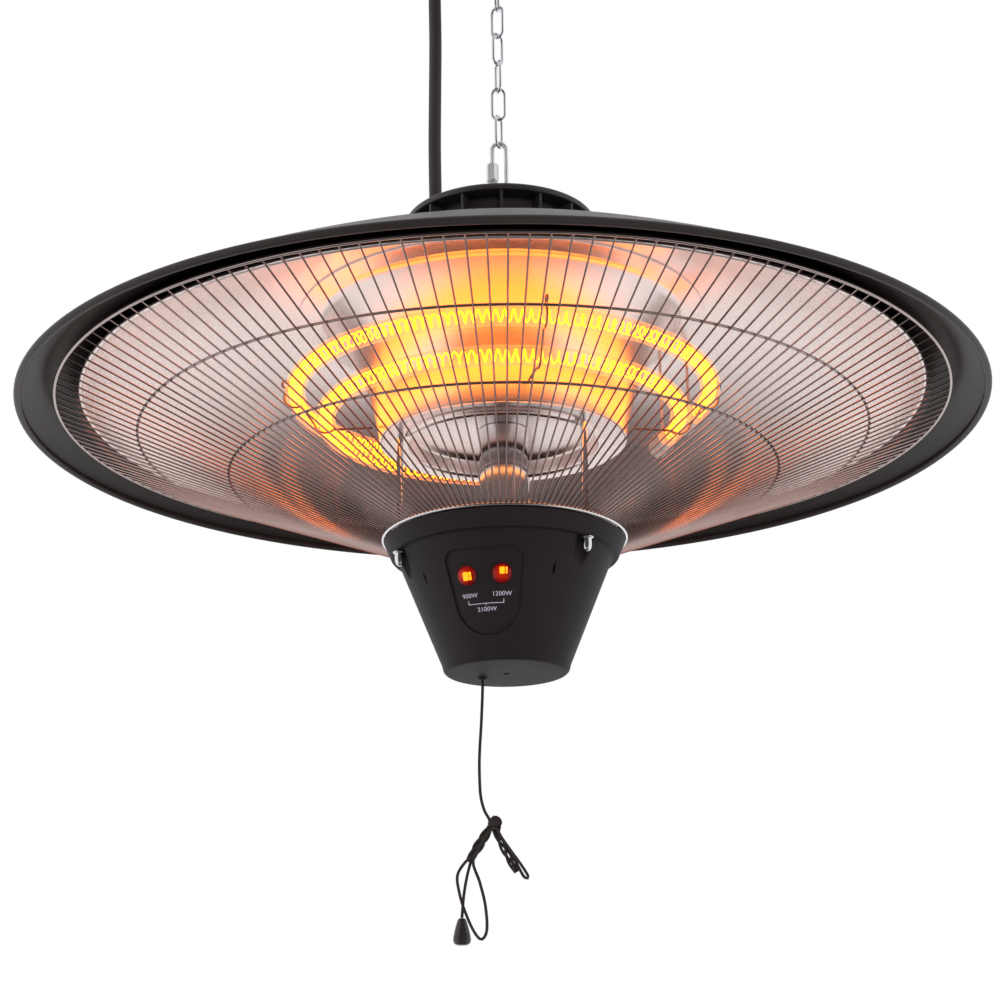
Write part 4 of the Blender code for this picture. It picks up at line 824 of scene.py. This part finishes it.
dish_edge = DISH - DISH_BEAD
bowl = bezier((132 * MM, dish_top - 0.3 * MM), (DISH * 0.725, dish_top * 0.914), (dish_edge, 8 * MM + DISH_BEAD), 24)
upper, lower = sheet_sides([(116 * MM, dish_top), (124 * MM, dish_top)] + bowl, DISH_SHEET)
dish_outline = upper[:-1] + arc((dish_edge, 8 * MM), DISH_BEAD, 60, -160, 12) + lower[1:]
dish_mesh = spun_mesh(raised(dish_outline, RIM), LARGE_STEPS, 50)
add_piece("polished_dish", dish_mesh, POLISHED, "polished_aluminium", "reflector")

# Bell: the flared middle of the reflector, polished aluminium, from a flange under the dish down to its
# mouth.
BELL_SHEET = 1 * MM
bell_top = dish_top - 1.3 * MM
bell_line = bezier((113 * MM, bell_top - 1.5 * MM), (83 * MM, bell_top / 2), (77 * MM, -13.6 * MM), 22)
inside = [(r - BELL_SHEET, z) for r, z in bell_line]
bell_flange = bell_top - BELL_SHEET
bell_outline = [(128 * MM, bell_top), (128 * MM, bell_flange), (115 * MM, bell_flange)]
bell_outline += bell_line + inside[::-1] + [(112 * MM, bell_top)]
bell_mesh = spun_mesh(raised(bell_outline, RIM), 160, 50)
add_piece("flared_bell", bell_mesh, POLISHED, "polished_aluminium", "inner_bell")

# Pan: closes the bell's mouth with a flat ring, a rolled throat and a shallow recess, all polished.
# The three long bolts stand on its ring.
PAN = RIM - 14.5 * MM
pan_outline = mm((9.3, 10), (57.0, 10), (58.6, 9), (59.3, 6.8), (61.4, 1.8), (62.6, 1), (75.7, 1), (75.7, 0), (64.1, 0))
pan_outline += arc((61.2 * MM, -0.4 * MM), 2.6 * MM, 8, -188, 16)
pan_outline += mm((58.5, 3), (58.3, 6.6), (57.8, 8.2), (56.6, 9), (9.3, 9))
pan_mesh = spun_mesh(raised(pan_outline, PAN), 160, 40)
add_piece("polished_pan", pan_mesh, POLISHED, "polished_aluminium", "inner_pan")

# Centre post: chromed steel tube from the pan's roof down to the housing. It goes round the thin tube
# that holds the wiring.
CHROME = coated("bright_chrome", (0.80, 0.80, 0.81), (0.70, 0.70, 0.72), 0.06, 0.14, 400, 0.00001, 1.0, 30)
POST = 15 * MM
POST_BORE = 13.8 * MM
low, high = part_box("centre_post")
post_mesh = spun_mesh([(POST, high.z), (POST, low.z), (POST_BORE, low.z), (POST_BORE, high.z)], 72)
add_piece("chromed_post", post_mesh, CHROME, "chrome", "centre_post")

# Bolts and dome nuts: three long chromed bolts with hexagon heads on the pan's ring. They carry the
# housing, and their dome nuts show in pockets in its side.
BOLT_CIRCLE = 66.5 * MM
BOLT_ANGLES = (-60, 60, 180)
BOLT = 2 * MM
HEAD_WIDTH = 6.2 * MM
HEAD_HEIGHT = 2.8 * MM
HEAD_BORE = 0.9 * MM
NUT_OUTLINE = mm((2.2, 0), (3.9, 0), (4.2, -0.25), (4.2, -0.75), (3.9, -1), (3.1, -1.15), (3.1, -4.6), (3.0, -5.6))
NUT_OUTLINE += mm((2.75, -6.8), (2.3, -7.8), (1.6, -8.6), (0.8, -8.95), (0, -9), (0, -5.3), (2.2, -5.3))


def around(radius, degrees, height=0.0):
    angle = math.radians(degrees)
    return Vector((radius * math.sin(angle), -radius * math.cos(angle), height))


for number, degrees in zip("123", BOLT_ANGLES):
    bolt_node, nut_node = "support_bolt_" + number, "dome_nut_" + number
    low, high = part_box(bolt_node)
    at = around(BOLT_CIRCLE, degrees)
    shank = [(0, high.z - 1 * MM), (BOLT, high.z - 1 * MM), (BOLT, low.z + 0.6 * MM), (1.5 * MM, low.z), (0, low.z)]
    add_piece("long_bolt_" + number, placed(spun_mesh(shank, 28), at), CHROME, "chrome", bolt_node)
    head = placed(hexagon_sleeve(HEAD_WIDTH, HEAD_HEIGHT, HEAD_BORE), at + Vector((0, 0, high.z - HEAD_HEIGHT / 2)))
    add_piece("bolt_head_" + number, head, CHROME, "chrome")
    nut = placed(spun_mesh(raised(NUT_OUTLINE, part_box(nut_node)[1].z), 36), at)
    add_piece("nut_dome_" + number, nut, CHROME, "chrome", nut_node)

# Ring lamps: two clear quartz tubes bent to three quarters of a circle, one above and outside the
# other. Each holds a coil of resistance wire that glows yellow.
LAMP_START = -164
LAMP_END = 121
LAMP_TUBE = 6 * MM
LAMP_STEPS = 110
LAMPS = (("outer", 130 * MM, 18 * MM), ("inner", 111 * MM, 1 * MM))
COIL_RADIUS = 3.55 * MM
COIL_WIRE = 0.6 * MM
COIL_PITCH = 5.1 * MM
COIL_INSET = 4 * MM


def edge_alpha(tree, blend, face_on, edge_on):
    """How solid clear stuff looks: little from straight ahead, and more at its edges."""
    facing = out_of(tree, "ShaderNodeLayerWeight", "Facing", {"Blend": blend})
    return spread(tree, facing, face_on, edge_on)


def clear_quartz():
    """Clear quartz, seen mostly at its edges. In the reflector it is a solid orange glow."""
    made = coated("clear_quartz", (1.0, 0.80, 0.66), (1.0, 0.72, 0.56), 0.03, 0.07, 120, 0.00001)
    tree = made.node_tree
    mirrored = out_of(tree, "ShaderNodeLightPath", "Is Glossy Ray")
    alpha = maths(tree, "MULTIPLY_ADD", mirrored, 0.78, edge_alpha(tree, 0.35, 0.07, 0.55), use_clamp=True)
    glow = spread(tree, mirrored, 0.35, 3.0)
    return finished(made, Alpha=alpha, Emission_Color=(1.0, 0.22, 0.0, 1), Emission_Strength=glow)


def glowing(name, colour, cooler, hotter, patches, power):
    """Something that glows, with slightly cooler stretches."""
    made, tree = new_finish(name)
    heat = mixed(tree, noise(tree, patches), cooler, hotter)
    return finished(made, Base_Color=(*colour, 1), Emission_Color=heat, Emission_Strength=power)


def swept(tree, line, radius, sides):
    """A round wire along a curve, capped at its ends."""
    profile = out_of(tree, "GeometryNodeCurvePrimitiveCircle", "Curve", {"Resolution": sides, "Radius": radius})
    sockets = {"Curve": line, "Profile Curve": profile, "Fill Caps": True}
    return out_of(tree, "GeometryNodeCurveToMesh", "Mesh", sockets)


def coil_tree():
    """Geometry Nodes: a wire that curls round the middle line of a ring lamp."""
    sizes = {"Ring": 0.13, "Coil": 0.0036, "Wire": 0.0005, "Start": 0.0, "Sweep": 4.0, "Height": 0.0}
    tree, given = new_grower("ring_coil", Curls=100, Points_In_Curl=14, **sizes)
    count = maths(tree, "MULTIPLY", given["Curls"], given["Points In Curl"])
    index = out_of(tree, "GeometryNodeInputIndex", "Index")
    share = maths(tree, "DIVIDE", index, maths(tree, "SUBTRACT", count, 1))
    angle = maths(tree, "MULTIPLY_ADD", share, given["Sweep"], given["Start"])
    curl = maths(tree, "MULTIPLY", maths(tree, "MULTIPLY", share, given["Curls"]), 2 * math.pi)
    out = maths(tree, "MULTIPLY_ADD", maths(tree, "COSINE", curl), given["Coil"], given["Ring"])
    rise = maths(tree, "MULTIPLY_ADD", maths(tree, "SINE", curl), given["Coil"], given["Height"])
    right = maths(tree, "MULTIPLY", out, maths(tree, "SINE", angle))
    back = maths(tree, "MULTIPLY", maths(tree, "MULTIPLY", out, maths(tree, "COSINE", angle)), -1)
    line = out_of(tree, "GeometryNodeCurvePrimitiveLine", "Curve")
    line = out_of(tree, "GeometryNodeResampleCurve", "Curve", {"Curve": line, "Count": count})
    sockets = {"Geometry": line, "Position": point_at(tree, right, back, rise)}
    line = out_of(tree, "GeometryNodeSetPosition", "Geometry", sockets)
    return painted(tree, given, swept(tree, line, given["Wire"], 6))


QUARTZ = clear_quartz()
HOT = glowing("glowing_wire", (1.0, 0.6, 0.05), (1.0, 0.25, 0.0), (1.0, 0.30, 0.001), 60, 4.5)
mirrored = out_of(HOT.node_tree, "ShaderNodeLightPath", "Is Glossy Ray")
finished(HOT, Emission_Strength=spread(HOT.node_tree, mirrored, 4.5, 7.5))
COIL = coil_tree()
for name, ring, rise_by in LAMPS:
    inset = math.degrees(COIL_INSET / ring)
    sweep = math.radians(LAMP_END - LAMP_START - 2 * inset)
    sizes = {"Ring": ring, "Coil": COIL_RADIUS, "Wire": COIL_WIRE, "Sweep": sweep, "Height": RIM + rise_by}
    sizes |= {"Start": math.radians(LAMP_START + inset), "Curls": round(ring * sweep / COIL_PITCH)}
    coil_mesh = grown(COIL, Points_In_Curl=14, Finish=HOT, **sizes)
    ridden(add_object(name + "_coil", coil_mesh), "hot_wire", name + "_filament")
    turns = [LAMP_START + (LAMP_END - LAMP_START) * i / LAMP_STEPS for i in range(LAMP_STEPS + 1)]
    skin = wire_mesh([around(ring, degrees, RIM + rise_by) for degrees in turns], LAMP_TUBE, 20)
    add_piece(name + "_quartz_tube", skin, QUARTZ, "quartz", name + "_lamp_tube")

# Lamp ends: white ceramic caps cemented on the quartz. A thin plated rod comes down from the reflector
# to each, with a clamp round the ceramic.
CERAMIC = coated("white_ceramic", (0.86, 0.83, 0.79), (0.78, 0.74, 0.70), 0.55, 0.70, 900, 0.00008)
STRAP_STEEL = coated("strap_steel", (0.82, 0.75, 0.73), (0.72, 0.65, 0.63), 0.50, 0.62, 400, 0.00003, 0.25, 30)
CLAMP_OUTLINE = mm((6.55, 2.2), (7.25, 2.2), (7.25, -2.2), (6.55, -2.2))
CLAMP_REACH = 7 * MM
ROD_PAD = 3.4 * MM
ROD = 0.9 * MM
for name in ("outer_left", "outer_right", "inner_left", "inner_right"):
    ring, end = name.split("_")
    strap_node, ceramic_node = ring + "_lamp_strap_" + end, ring + "_ceramic_" + end
    dress(CERAMIC, ceramic_node)
    rod_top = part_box(strap_node)[1].z
    low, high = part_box(ceramic_node)
    middle = (low + high) / 2
    rod_foot = middle.z + CLAMP_REACH
    facing = math.degrees(math.atan2(middle.x, -middle.y))
    clamp = placed(placed(spun_mesh(CLAMP_OUTLINE, 40), turn=90, axis="Y"), middle, facing)
    rod = [(0, rod_top), (ROD_PAD, rod_top), (ROD_PAD, rod_top - 0.9 * MM), (1.3 * MM, rod_top - 1.3 * MM)]
    rod += [(ROD, rod_top - 2.2 * MM), (ROD, rod_foot), (0, rod_foot)]
    strap = joined([clamp, placed(spun_mesh(rod, 20), (middle.x, middle.y, 0))], 40)
    add_piece("clamp_" + name, strap, STRAP_STEEL, "zinc", strap_node)
dress(ZINC, "carrier_plate", "wiring_tube")

# Lamp supports: spring wire from the bell that runs under the inner tube, hooks round the outer one
# and ends in a small curl. The heat has browned it.
HEATED_WIRE = coated("heated_wire", (0.55, 0.36, 0.28), (0.36, 0.22, 0.18), 0.25, 0.40, 600, 0.00003, 1.0)
SUPPORT_ANGLES = (-76, 24, 108)
SUPPORT_WIRE = 0.75 * MM
SUPPORT_REACH = 7.05 * MM
for number, degrees in zip("123", SUPPORT_ANGLES):
    line = mm((81.5, -3))
    line += arc((111 * MM, 1 * MM), SUPPORT_REACH, 225, 345, 16)
    line += arc((130 * MM, 18 * MM), SUPPORT_REACH, 240, 420, 24)
    line += arc((136.2 * MM, 26.4 * MM), 2.3 * MM, 210, -110, 16)
    mesh = wire_mesh([around(r, degrees, z + RIM) for r, z in line], SUPPORT_WIRE, 8)
    add_piece("hooked_support_" + number, mesh, HEATED_WIRE, "zinc", "lamp_support_" + number)

# Wire guard: 156 straight chromed wires welded to a thick outer ring, two thin rings and a foot ring
# that sits on the housing.
GUARD_WIRES = 156
GUARD_WIRE = 0.56 * MM
GUARD = (276 * MM, 3.5 * MM)
GUARD_FOOT = (74.8 * MM, -77.4 * MM)
# The guard wires' reddish-brown colour, and the red-brown tint of their edges, are painted reflection: they stand in
# for the dark red rim and orange lamp glow that the chromed wires mirror at grazing angles.
GUARD_STEEL_PAINTED_REFLECTION = coated("guard_steel_painted_reflection", (0.54, 0.41, 0.39), (0.38, 0.28, 0.26), 0.14, 0.24, 500, 0.00002, 1.0, 40)
finished(GUARD_STEEL_PAINTED_REFLECTION, Specular_Tint=(0.40, 0.16, 0.11, 1))
RING_STEEL = coated("ring_steel", (0.50, 0.42, 0.41), (0.34, 0.28, 0.27), 0.10, 0.18, 500, 0.00002, 1.0, 40)
RING_STEPS = 200
RINGS = (
    ("outer_ring", 276 * MM, 1.15 * MM, 0.0, RING_STEEL),
    ("wide_ring", 225.7 * MM, 0.85 * MM, 1.3 * MM, RING_STEEL),
    ("narrow_ring", 169.6 * MM, 0.85 * MM, 1.3 * MM, RING_STEEL),
    ("foot_ring", 74.8 * MM, 1.0 * MM, 0.0, CHROME),
)


def guard_tree():
    """Geometry Nodes: straight wires set round the axis between two circles, like the spokes of a cone."""
    ends = {"Inner": (0.08, 0.0, 0.0), "Outer": (0.27, 0.0, 0.0)}
    tree, given = new_grower("cone_of_wires", Count=GUARD_WIRES, Wire=GUARD_WIRE, Start=0.0, **ends)
    sockets = {"Start": given["Inner"], "End": given["Outer"]}
    line = out_of(tree, "GeometryNodeCurvePrimitiveLine", "Curve", sockets)
    return copied_round(tree, given, swept(tree, line, given["Wire"], 8))


ends = {"Inner": (GUARD_FOOT[0], 0, GUARD_FOOT[1] + RIM), "Outer": (GUARD[0], 0, GUARD[1] + RIM)}
guard_mesh = grown(guard_tree(), Count=GUARD_WIRES, Wire=GUARD_WIRE, Finish=GUARD_STEEL_PAINTED_REFLECTION, **ends)
ridden(add_object("guard_wires", guard_mesh), "chrome", "wire_guard")
for name, radius, wire, lift, finish in RINGS:
    share = (radius - GUARD_FOOT[0]) / (GUARD[0] - GUARD_FOOT[0])
    height = GUARD_FOOT[1] + (GUARD[1] - GUARD_FOOT[1]) * share + lift + RIM
    circle = [around(radius, 360 * i / RING_STEPS, height) for i in range(RING_STEPS)]
    add_piece("guard_" + name, wire_mesh(circle, wire, 12, cyclic=True), finish, "chrome")

# Control housing: a black moulded cone that narrows downwards, with a band round its top, three pockets
# for the dome nuts, two slots, and a shallow shield-shaped field for the pilot lamps.
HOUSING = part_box("control_housing")[1].z
HOUSING_WALL = 2.5 * MM
LEDGE_DROP = 10.2 * MM
LEDGE = HOUSING - LEDGE_DROP
SLOPE_TOP = 66.2 * MM
SLOPE_FOOT = 38.5 * MM
SLOPE_DROP = 68.3 * MM
SHELL_TILT = math.atan2(SLOPE_TOP - SLOPE_FOOT, SLOPE_DROP)
POCKET = 7.5 * MM
FIELD_WIDTH = 48 * MM
FIELD_HEIGHT = 52 * MM
FIELD_TOP = 20.5 * MM
FIELD_DEPTH = 1.1 * MM
LENS_HOLE = 5.1 * MM
LAMP_DROP = 35 * MM
LAMP_ANGLES = (-11, 11)
SLOT_ANGLES = (-43, 43)
SLOT_DROP = 31 * MM
DEEP = 9 * MM
NYLON_COLOURS = ((0.017, 0.013, 0.015), (0.011, 0.008, 0.009))
HOUSING_NYLON = coated("housing_nylon", *NYLON_COLOURS, 0.52, 0.64, 1400, 0.00006, mirror=0.2)
MOULDING_COLOURS = ((0.016, 0.013, 0.014), (0.009, 0.007, 0.008))
BLACK_MOULDING = coated("black_moulding", *MOULDING_COLOURS, 0.40, 0.50, 1400, 0.00006, mirror=0.22)


def housing_outline(inset, corner_steps):
    line = [(74.2 * MM - inset, 0.0), (70.1 * MM - inset, inset - 9.6 * MM), (69.6 * MM - inset, inset - LEDGE_DROP)]
    line += [(66.5 * MM - inset, inset - LEDGE_DROP), (66.0 * MM - inset, inset - 10.6 * MM)]
    line += [(SLOPE_FOOT - inset + 0.5 * MM, -77.3 * MM)]
    line += arc((34.9 * MM - inset, -78.8 * MM + inset), 3.7 * MM, -12, -90, corner_steps)
    return raised(line + [(0, -82.5 * MM + inset)], HOUSING)


def shell_radius(drop):
    return SLOPE_TOP + (SLOPE_FOOT - SLOPE_TOP) * (drop - LEDGE_DROP) / SLOPE_DROP


def field_outline():
    half = FIELD_WIDTH / 2
    corner = 8 * MM
    foot = half * 0.82
    points = arc((half - corner, -corner), corner, 90, 0, 10)
    points += arc((0, -FIELD_HEIGHT + foot), foot, -8, -172, 28)
    return points + arc((-half + corner, -corner), corner, 180, 90, 10)


def on_face(mesh, drop, degrees=0.0, out=0.0):
    """Moves a mesh made in the XZ plane, facing -Y, onto the housing's sloping face."""
    placed(mesh, (0, -shell_radius(drop) - out, HOUSING - drop), math.degrees(SHELL_TILT), "X")
    return placed(mesh, turn=degrees)


housing = add_object("housing", spun_mesh([(0, HOUSING)] + housing_outline(0, 8), LARGE_STEPS, 50))
cavity = housing_outline(HOUSING_WALL, 4)
mouth = HOUSING + 2 * MM
hollow = add_object("hollow", spun_mesh([(0, mouth), (cavity[0][0], mouth)] + cavity, 96))
for degrees in BOLT_ANGLES:
    cut(hollow, placed(rod_mesh(10 * MM, LEDGE + 3 * MM, FLOOR - DEEP, 40), around(BOLT_CIRCLE, degrees)))
cut(housing, carved(hollow))
pocket = [(0, LEDGE + DEEP), (2.3 * MM, LEDGE + DEEP), (2.3 * MM, LEDGE), (POCKET, LEDGE), (POCKET, FLOOR - DEEP)]
for degrees in BOLT_ANGLES:
    cut(housing, placed(spun_mesh(pocket + [(0, FLOOR - DEEP)], 64), around(BOLT_CIRCLE, degrees)))
field = add_object("field", on_face(flat_plate(field_outline(), 28 * MM), FIELD_TOP))
cut(field, spun_mesh([(0, HOUSING)] + housing_outline(FIELD_DEPTH, 8), LARGE_STEPS))
cut(housing, carved(field))
for degrees in LAMP_ANGLES:
    hole = placed(rod_mesh(LENS_HOLE, 20 * MM, -20 * MM, 48), turn=90, axis="X")
    cut(housing, on_face(hole, LAMP_DROP, degrees))
for degrees in SLOT_ANGLES:
    slot_line = arc((-8.44 * MM, 0), 9.34 * MM, 25, -25, 12) + arc((8.44 * MM, 0), 9.34 * MM, 205, 155, 12)
    cut(housing, on_face(flat_plate(slot_line, 24 * MM), SLOT_DROP, degrees))
cut(housing, placed(rod_mesh(2.9 * MM, FLOOR + 8 * MM, FLOOR - 8 * MM, 32), (*PULL_PLACE, 0)))
cut(housing, rod_mesh(2.0 * MM, FLOOR + 1.6 * MM, FLOOR - 8 * MM, 32))
add_piece("moulded_housing", carved(housing), HOUSING_NYLON, "black_plastic", "control_housing")
dress(BLACK_MOULDING, "housing_lid", "cord_bush", "switch_plunger")

# Foot screw: a small blackened screw sunk in the middle of the housing's floor, where it holds the
# works inside.
head_sizes = {"Head_Radius": 1.8 * MM, "Head_Height": 0.9 * MM}
screw_mesh = grown(SCREWS, Count=1, Circle=0.0, Start=0.7, Finish=BLACK_MOULDING, **head_sizes)
foot_screw = add_object("foot_screw", placed(screw_mesh, (0, 0, FLOOR + 1.5 * MM), 180, "X"))
ridden(foot_screw, "black_plastic")

# Pilot lamps: two round orange-red lenses pressed into the housing's field, each over a neon tube with
# two glowing plates.
LENS_OUTLINE = mm((0, 3.2), (2.5, 3.1), (4.4, 2.6), (5.5, 1.8), (6.0, 0.9), (6.0, 0.2), (5.4, 0.2), (5.0, 1.3))
LENS_OUTLINE += mm((4.0, 2.0), (2.4, 2.5), (0, 2.6))
BARREL_OUTLINE = mm((4.8, 0.6), (4.8, -15), (0, -15), (0, -14), (4.2, -14), (4.2, 0.6))
LENS_SINK = 0.9 * MM
PLATE_OUT = 0.6 * MM
# Each lamp's plates: the middle and width of each, then how far above the lens's middle they stand, and
# their height.
PLATES = (
    (((-0.5, 2.8), (2.3, 1.2)), -0.7, 5.0),
    (((0.2, 3.0), (2.8, 1.0)), 1.4, 4.0),
)


def lens_red(name, middle):
    """Clear red plastic that glows from the neon tube behind its middle and is dark at its edge."""
    made = coated(name, (0.12, 0.002, 0.001), (0.07, 0.001, 0.001), 0.06, 0.12, 200, 0.00002)
    tree = made.node_tree
    sockets = {0: out_of(tree, "ShaderNodeTexCoord", "Object"), 1: middle}
    reach = out_of(tree, "ShaderNodeVectorMath", "Value", sockets, operation="DISTANCE")
    glow = new_node(tree, "ShaderNodeValToRGB", {"Fac": spread(tree, reach, 0.0, 1.0, 0.0, 6.4 * MM)})
    bright, dark = glow.color_ramp.elements
    bright.position, bright.color = 0.35, (1.0, 0.04, 0.001, 1)
    dark.position, dark.color = 0.98, (0.03, 0.0004, 0.0003, 1)
    glow.color_ramp.elements.new(0.72).color = (0.26, 0.003, 0.001, 1)
    finished(made, Alpha=edge_alpha(tree, 0.3, 0.30, 0.9))
    return finished(made, Emission_Color=glow.outputs["Color"], Emission_Strength=0.85)


def rounded_bar(middle, lift, wide, tall):
    """The outline of an upright bar with rounded corners, from sizes in millimetres."""
    corner = min(wide, 1.2) / 2
    line = []
    for side, rise, turn in ((1, 1, 0), (-1, 1, 90), (-1, -1, 180), (1, -1, 270)):
        across = (middle + side * (wide / 2 - corner)) * MM
        height = (lift + rise * (tall / 2 - corner)) * MM
        line += arc((across, height), corner * MM, turn, turn + 90, 4)
    return line


NEON = glowing("neon_plates", (1.0, 0.3, 0.02), (1.0, 0.16, 0.0), (1.0, 0.42, 0.01), 500, 4.2)
for number, degrees, (plates, lift, tall) in zip("12", LAMP_ANGLES, PLATES):
    glow_place = around(shell_radius(LAMP_DROP) + 0.6 * MM, degrees, HOUSING - LAMP_DROP)
    LENS = lens_red("lens_red_" + number, glow_place)
    lens = placed(spun_mesh(LENS_OUTLINE, 48, 60), turn=90, axis="X")
    on_face(lens, LAMP_DROP, degrees, -LENS_SINK)
    add_piece("red_lens_" + number, lens, LENS, "red_lens", "pilot_lamp_" + number)
    barrel = placed(spun_mesh(BARREL_OUTLINE, 40), turn=90, axis="X")
    on_face(barrel, LAMP_DROP, degrees, -LENS_SINK)
    add_piece("lens_barrel_" + number, barrel, LENS, "red_lens")
    for side, (shift, wide) in zip("12", plates):
        bar = on_face(flat_plate(rounded_bar(shift, lift, wide, tall), 1.2 * MM), LAMP_DROP, degrees, PLATE_OUT)
        add_piece("neon_plate_" + number + "_" + side, bar, NEON, "red_lens")

# Panel marks: the wattages printed in pale grey under the lamps, and the bracket that joins them. The
# ink is a thin film on the field's floor.
PRINT = coated("pale_print", (0.50, 0.49, 0.58), (0.42, 0.41, 0.49), 0.5, 0.6, 900, 0.00002)
INK = 0.03 * MM
PRINT_SIZE = 3.7 * MM
BRACKET_DROP = 50.0 * MM
BRACKET_ANGLE = -0.8
MARKS = (("900W", 46.2 * MM, -11.6), ("1200W", 46.0 * MM, 10.6), ("2100W", 54.2 * MM, -0.5))
# Each line's left, right, upper and lower edge, in millimetres.
BRACKET_LINES = (
    ("left", -10.9, -10.45, 1.2, -1.2),
    ("right", 10.45, 10.9, 1.2, -1.2),
    ("bar", -10.9, 10.9, -0.8, -1.2),
    ("stem", -0.2, 0.2, -1.2, -2.2),
)


def wrapped(mesh, drop, degrees):
    """Lays a flat mesh on the field's curved floor, from its own X and Y."""
    sunk = FIELD_DEPTH / math.cos(SHELL_TILT)
    radius = shell_radius(drop) - sunk
    for vertex in mesh.vertices:
        fall = drop - vertex.co.y * math.cos(SHELL_TILT)
        out = vertex.co.z + INK
        reach = shell_radius(fall) - sunk + out * math.cos(SHELL_TILT)
        at = around(reach, degrees + math.degrees(vertex.co.x / radius))
        vertex.co = (at.x, at.y, HOUSING - fall - out * math.sin(SHELL_TILT))
    return mesh


def print_mesh(text):
    data = bpy.data.curves.new("print", "FONT")
    set_all(data, body=text, size=PRINT_SIZE, align_x="CENTER", align_y="CENTER")
    set_all(data, extrude=INK, space_character=1.06, offset=0.012 * MM)
    return settled(add_object("print", data))


for text, drop, degrees in MARKS:
    add_piece("mark_" + text, wrapped(print_mesh(text), drop, degrees), PRINT, "black_plastic")
for name, left, right, upper, lower in BRACKET_LINES:
    shape = bmesh.new()
    bmesh.ops.create_grid(shape, x_segments=24, y_segments=1, size=1)
    mesh = filled(shape)
    mesh.transform(Matrix.Diagonal(((right - left) / 2 * MM, (upper - lower) / 2 * MM, 1, 1)))
    placed(mesh, ((left + right) / 2 * MM, (upper + lower) / 2 * MM, INK))
    film = add_object("film", wrapped(mesh, BRACKET_DROP, BRACKET_ANGLE))
    set_all(film.modifiers.new("wall", "SOLIDIFY"), thickness=0.05 * MM)
    add_piece("bracket_" + name, settled(film), PRINT, "black_plastic")

# Toggle: a tapered bead of glossy black plastic on the end of the cord, with a fine line where its two
# halves are joined.
GLOSS_PLASTIC = coated("gloss_plastic", (0.024, 0.018, 0.020), (0.016, 0.012, 0.013), 0.16, 0.26, 900, 0.00002)
low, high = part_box("cord_toggle")
toggle_outline = mm((0, 0), (1.5, -0.05), (2.2, -0.5), (2.7, -1.4), (3.2, -3), (3.95, -5.5), (4.6, -8), (5.0, -10))
toggle_outline += mm((5.2, -11.3), (5.08, -11.45), (5.25, -11.6), (5.35, -12.6), (5.2, -13.7), (4.7, -14.7))
toggle_outline += mm((3.8, -15.4), (2.6, -15.8), (0, -16))
toggle_middle = (low + high) / 2
toggle_mesh = placed(spun_mesh(toggle_outline, 40, 50), (toggle_middle.x, toggle_middle.y, high.z))
toggle = add_piece("grooved_toggle", toggle_mesh, GLOSS_PLASTIC, "black_plastic", "cord_toggle", body="pull")

# Works inside the housing: a terminal block that joins the supply cable to the lamps, and a pull switch,
# both in pale thermoset plastic.
THERMOSET = coated("thermoset", (0.78, 0.77, 0.73), (0.70, 0.69, 0.65), 0.45, 0.55, 800, 0.00004)
dress(THERMOSET, "terminal_block", "pull_switch")
